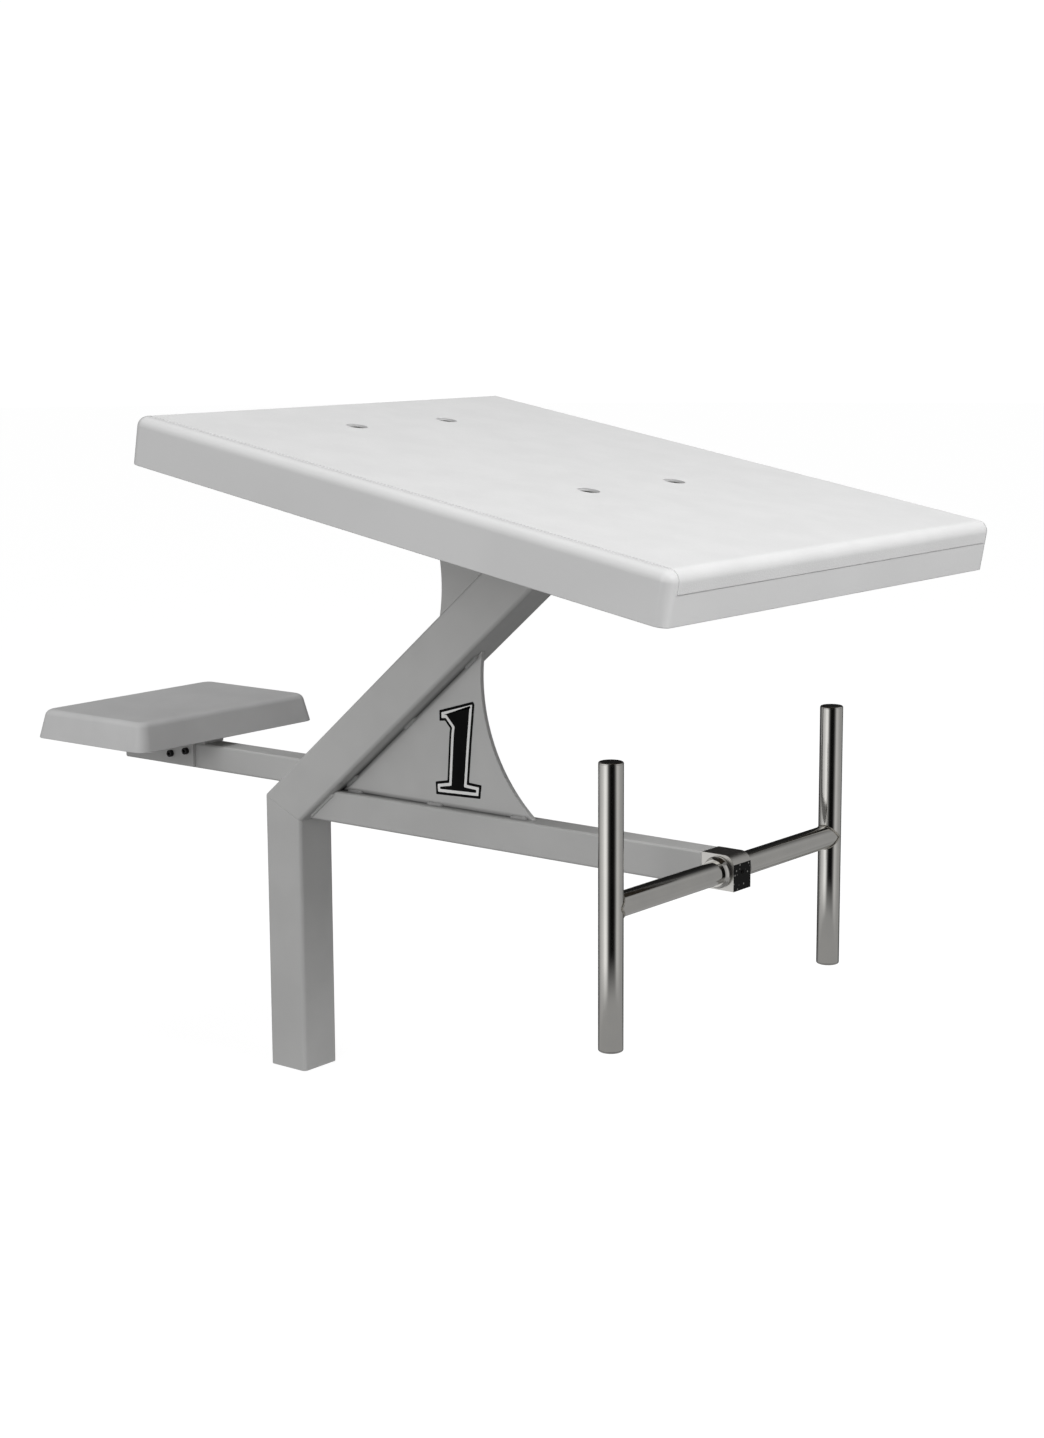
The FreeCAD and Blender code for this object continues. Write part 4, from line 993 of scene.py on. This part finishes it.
capSteps = 8
plugRadius = gripRadius - grip["wall"] - 0.1 * mm
capCentre = (gripRadius - grip["capRound"], grip["cap"] - grip["capRound"])
capCurve = arc(capCentre, grip["capRound"], 0, 90, capSteps)
capProfile = [(0, -4 * grip["cap"]), (plugRadius, -4 * grip["cap"]), (plugRadius, 0),
              (gripRadius - grip["groove"], 0), (gripRadius - grip["groove"], grip["groove"])]
capProfile += [(r, z - grip["crown"] * r / gripRadius) for r, z in capCurve]
capProfile += [(gripRadius * share, grip["cap"] - grip["crown"] * share) for share in (0.6, 0.3, 0)]
bm = bmesh.new()
for side in (-1, 1):
    for z, way in ((rightLow.z, -zAxis), (rightHigh.z, zAxis)):
        lathe(capProfile, 64, standing(Vector((barX, side * gripReach, z)), way), bm)
makePiece("gripEndCaps", bm, gripSteel, body="grip_bar")

crossSteps = 96


def onUpright(radius, turn, hand, lift=0.0, share=1.0):  # a point of the crossbar's coped end, on the upright
    x, z = radius * math.cos(turn), radius * math.sin(turn)
    reach = math.sqrt(max(gripRadius ** 2 - x * x, 0.0)) * share + lift
    return Vector((barX + x, hand * (gripReach - reach), barZ + z))


bm = bmesh.new()
bore = gripRadius - grip["wall"]
skin(bm, [addRing(bm, [onUpright(r, math.tau * i / crossSteps, hand) for i in range(crossSteps)])
          for r, hand in ((gripRadius, -1), (gripRadius, 1), (bore, 1), (bore, -1))], closed=True)
makePiece("gripCrossbar", bm, crossSteel, body="grip_bar")

saddleSteps = 64
saddleLift, saddleShare = 0.7 * mm, 0.96  # how the bead's path stands off the upright
saddlePaths = [[onUpright(gripRadius, math.tau * i / saddleSteps, hand, saddleLift, saddleShare)
                for i in range(saddleSteps + 1)] for hand in (-1, 1)]
welds("gripBarWelds", saddlePaths, grip["bead"], weldSteel, "grip_bar",
      **{"Ripple Pitch": 1.8 * mm, "Ripple Depth": 0.1, "End Taper": 0.001})

collar = {"size": 34 * mm, "width": 9 * mm, "flange": 3.6 * mm, "lip": 2.2 * mm, "edge": 0.6 * mm}
collarLow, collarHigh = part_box("grip_bar_collars")
rim = collar["size"] / 2
neck = gripRadius + collar["lip"]
collarProfile = [(gripRadius, 0), (rim - collar["edge"], 0), (rim, collar["edge"]),
                 (rim, collar["flange"] - collar["edge"]), (rim - collar["edge"], collar["flange"])]
collarProfile += [(neck + (rim - collar["edge"] - neck) * (1 - share) ** 2,
                   collar["flange"] + (collar["width"] - collar["flange"]) * share)
                  for share in (0.25, 0.5, 0.75, 0.92)]
collarProfile += [(neck - 0.4 * mm, collar["width"]), (gripRadius, collar["width"])]
bm = bmesh.new()
for hand, face in ((-1, collarLow.y + collar["width"]), (1, collarHigh.y - collar["width"])):
    lathe(collarProfile, 64, standing(Vector((barX, face, barZ)), hand * yAxis), bm)
makePiece("gripBarCollars", bm, crossSteel, body="grip_bar")
print("grip bar made")


# ---- clamp block and its screws

clamp = {"round": 12 * mm, "spigot": 45 * mm, "spigotGap": 3.3 * mm, "edge": 1.1 * mm, "fit": 0.06 * mm,
         "grub": 5 * mm, "screwHead": 9 * mm, "screwHeight": 2.5 * mm, "socket": 3 * mm, "thread": 10 * mm,
         "pitch": 0.8 * mm, "drill": 50 * mm}
blockLow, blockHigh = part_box("clamp_block")
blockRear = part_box("front_arm")[1].x
bm = bmesh.new()
side = [(blockRear, blockLow.z), (blockHigh.x, blockLow.z)]
side += arc((blockHigh.x - clamp["round"], blockHigh.z - clamp["round"]), clamp["round"], 0, 90, 12)
side += [(blockRear, blockHigh.z)]
prism(bm, side, blockLow.y, blockHigh.y)
block = makePiece("clampBlock", bm, blockSteel)


def rod(centre, axis, radius, length, segments=48):
    def cut(bm):
        lathe([(0, 0), (radius, 0), (radius, length), (0, length)], segments, standing(centre, axis), bm)
    return cut


barMiddle = Vector((barX, 0, barZ))
drill = clamp["drill"]
carve(block, [rod(barMiddle - drill * yAxis, yAxis, gripRadius + clamp["fit"], 2 * drill, 96)])
carve(block, [rod(barMiddle, way, clamp["grub"] / 2, drill) for way in (xAxis, -zAxis)])
breakEdges(block, clamp["edge"], 3)

bm = bmesh.new()
spigotHalf = Vector((clamp["spigot"] / 2, blockHigh.y - clamp["spigotGap"],
                     (blockHigh.z - blockLow.z) / 2 - clamp["spigotGap"]))
spigotBox = roundedRectangle(2 * spigotHalf.y, 2 * spigotHalf.z, 0.8 * mm, 3, (0.0, barZ))
skin(bm, [addRing(bm, [(x, a, b) for a, b in spigotBox]) for x in (blockRear - clamp["spigot"], blockRear)])
bm.verts.ensure_lookup_table()
bm.faces.new(bm.verts[:len(spigotBox)])
bm.faces.new(bm.verts[len(spigotBox):])
makePiece("clampSpigot", bm, blockSteel, "clamp_block")


def grubScrew(size, length):  # headless, with a hexagon socket
    wall = size / 2 - 0.02 * mm
    return loft([hexRing(size * 0.5, length * 0.5), hexRing(size * 0.5, length), circle(size * 0.42, length),
                 circle(wall, length - 0.4 * mm), circle(wall, 0.4 * mm), circle(size * 0.4)])


grubTip = gripRadius + clamp["fit"]
for name, way, turn in (("clampGrubFront", xAxis, (0.0, math.pi / 2, 0.0)),
                        ("clampGrubLower", -zAxis, (math.pi, 0.0, 0.0))):
    fasteners(name, grubScrew(clamp["grub"], clamp["grub"]), [barMiddle + grubTip * way], turn, blackSteel,
              node="clamp_grub_screws", slotName="stainless_fasteners")
spigotLow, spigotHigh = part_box("spigot_screws")
headHalf = clamp["screwHead"] / 2
underArm = [Vector((x, 0, blockLow.z)) for x in (spigotLow.x + headHalf, spigotHigh.x - headHalf)]
screwMaster = socketScrew(clamp["screwHead"], clamp["screwHeight"], clamp["socket"], clamp["grub"],
                          spigotHigh.z - blockLow.z, clamp["thread"], clamp["pitch"])
fasteners("spigotScrews", screwMaster, underArm, (math.pi, 0.0, 0.0))
print("clamp made")


# ---- camera

camera = {"position": (2.0239, -2.1115, 0.9327), "target": (0.3449, 0.0, 0.4633), "roll": -0.298,
          "lens": 61.70}
cameraData = bpy.data.cameras.new("studioCamera")
cameraData.lens = camera["lens"]
cameraData.sensor_width = 36.0
cameraData.clip_end = 60.0
studioCamera = bpy.data.objects.new("studioCamera", cameraData)
bpy.context.collection.objects.link(studioCamera)
aim = Vector(camera["target"]) - Vector(camera["position"])
roll = Matrix.Rotation(math.radians(camera["roll"]), 4, "Z")
turned = aim.to_track_quat("-Z", "Y").to_matrix().to_4x4() @ roll
studioCamera.matrix_world = Matrix.Translation(camera["position"]) @ turned
bpy.context.scene.camera = studioCamera


# ---- studio: pale floor, backdrop, a drum of cards for the polished metal, and soft lights

studio = {"floorGlow": 0.93, "floorGrey": 0.14, "floorRadius": 18.0, "backdrop": 1.02,
          "backdropRadius": 20.0, "below": 0.16, "above": 0.48, "drumRadius": 3.4, "drumReach": 4.0,
          "drumGlow": 1.2, "drumEnds": 0.25, "drumFloor": 0.32, "drumFade": (-1.7, -1.1)}
scene = bpy.context.scene
scene.view_settings.view_transform = "Standard"
scene.view_settings.look = "None"
world = bpy.data.worlds.new("studioAir")
world.use_nodes = True
worldTree = world.node_tree
direction = addNode(worldTree, "ShaderNodeTexCoord").outputs["Generated"]
sky = addNode(worldTree, "ShaderNodeSeparateXYZ", {0: direction}).outputs["Z"]
lift = addNode(worldTree, "ShaderNodeMapRange", {"Value": sky, "From Min": -0.5, "From Max": 0.7,
                                                 "To Min": studio["below"], "To Max": studio["above"]})
feed(worldTree, worldTree.nodes["Background"], {"Strength": lift, "Color": (1.0, 1.0, 1.0, 1.0)})
scene.world = world
unlit = {"visible_diffuse": False, "visible_glossy": False, "visible_shadow": False,
         "visible_transmission": False, "visible_volume_scatter": False}


def stageSurface(name, bm, material, seen):
    mesh = bpy.data.meshes.new(name)
    bm.to_mesh(mesh)
    bm.free()
    mesh.materials.append(material)
    surface = bpy.data.objects.new(name, mesh)
    bpy.context.collection.objects.link(surface)
    for setting, value in seen.items():
        setattr(surface, setting, value)


def glowing(name, strength):
    material = bpy.data.materials.new(name)
    material.use_nodes = True
    tree = material.node_tree
    tree.nodes.remove(tree.nodes["Principled BSDF"])
    glow = addNode(tree, "ShaderNodeEmission", {"Strength": strength})
    feed(tree, tree.nodes["Material Output"], {"Surface": glow})
    return material, tree, glow


floorGrey = [studio["floorGrey"]] * 3 + [1.0]
floorMaterial = startMaterial("paleFloor", None, Roughness=0.9, Specular_IOR_Level=0.0, Base_Color=floorGrey,
                              Emission_Color=(1, 1, 1, 1), Emission_Strength=studio["floorGlow"])[0]
bm = bmesh.new()
bmesh.ops.create_circle(bm, cap_ends=True, segments=96, radius=studio["floorRadius"])
stageSurface("floor", bm, floorMaterial, unlit)
bm = bmesh.new()
bmesh.ops.create_uvsphere(bm, u_segments=48, v_segments=24, radius=studio["backdropRadius"])
stageSurface("backdrop", bm, glowing("whiteBackdrop", studio["backdrop"])[0], unlit)

# bearings in degrees about the grip bar, from X towards Y, and how bright the card there is
cards = [(11, 0.62), (25, 0.50), (41, 0.42), (55, 0.38), (64, 0.42), (82, 0.18), (95, 0.04), (112, 0.015),
         (146, 0.015), (163, 0.10), (180, 0.28), (202, 0.53), (220, 0.67), (235, 0.80), (248, 1.1),
         (261, 1.15), (273, 0.72), (281, 0.23), (292, 0.03), (304, 0.004), (327, 0.006), (336, 0.05),
         (348, 0.28), (358, 0.62)]
drumMaterial, drumTree, drumGlow = glowing("reflectionCards", studio["drumGlow"])
drumPlace = addNode(drumTree, "ShaderNodeTexCoord").outputs["Object"]
around = addNode(drumTree, "ShaderNodeVectorMath", {0: drumPlace, 1: (barX, 0.0, 0.0)}, operation="SUBTRACT")
parts = addNode(drumTree, "ShaderNodeSeparateXYZ", {0: around}).outputs
bearing = addNode(drumTree, "ShaderNodeMath", {0: parts["Y"], 1: parts["X"]}, operation="ARCTAN2")
share = addNode(drumTree, "ShaderNodeMapRange", {"Value": bearing, "From Min": -math.pi, "From Max": math.pi})
cardRamp = addNode(drumTree, "ShaderNodeValToRGB", {"Fac": share})
stops = sorted((((angle + 180) % 360) / 360, glow / studio["drumGlow"]) for angle, glow in cards)
rampColours(cardRamp, [(at, [glow] * 3 + [1.0]) for at, glow in stops])
fadeLow, fadeHigh = studio["drumFade"]
fade = addNode(drumTree, "ShaderNodeMapRange", {"Value": parts["Z"], "From Min": fadeLow,
                                                "From Max": fadeHigh})
cardTones = {0: fade, 6: [studio["drumFloor"]] * 3 + [1.0], 7: cardRamp}
feed(drumTree, drumGlow, {"Color": addNode(drumTree, "ShaderNodeMix", cardTones, data_type="RGBA")})
mirrored = unlit | {"visible_camera": False, "visible_glossy": True}
bm = bmesh.new()
bmesh.ops.create_cone(bm, cap_ends=False, segments=96, radius1=studio["drumRadius"],
                      radius2=studio["drumRadius"], depth=2 * studio["drumReach"])
bmesh.ops.translate(bm, verts=bm.verts, vec=(barX, 0, 0))
stageSurface("reflectionDrum", bm, drumMaterial, mirrored)
bm = bmesh.new()
for height in (-studio["drumReach"], studio["drumReach"]):
    bmesh.ops.create_circle(bm, cap_ends=True, segments=64, radius=studio["drumRadius"],
                            matrix=Matrix.Translation((barX, 0, height)))
stageSurface("reflectionDrumEnds", bm, glowing("reflectionDrumEnds", studio["drumEnds"])[0], mirrored)

softboxes = {
    "overheadSoftbox": {"at": (-0.3, -0.5, 3.2), "facing": (0.1, 0, 0.6), "size": 1.6, "watts": 15.0},
    "sideSoftbox": {"at": (0.9, -3.3, 1.3), "facing": (0.4, 0, 0.4), "size": 1.8, "watts": 36.0},
    "frontSoftbox": {"at": (3.0, 0.1, 2.5), "facing": (0.6, 0, 0.6), "size": 1.1, "watts": 71.0}}
for name, box in softboxes.items():
    data = bpy.data.lights.new(name, "AREA")
    data.size = box["size"]
    data.energy = box["watts"]
    light = bpy.data.objects.new(name, data)
    bpy.context.collection.objects.link(light)
    light.location = box["at"]
    light.rotation_mode = "QUATERNION"
    light.rotation_quaternion = (Vector(box["facing"]) - Vector(box["at"])).to_track_quat("-Z", "Y")
    light.visible_glossy = False
print("studio set")
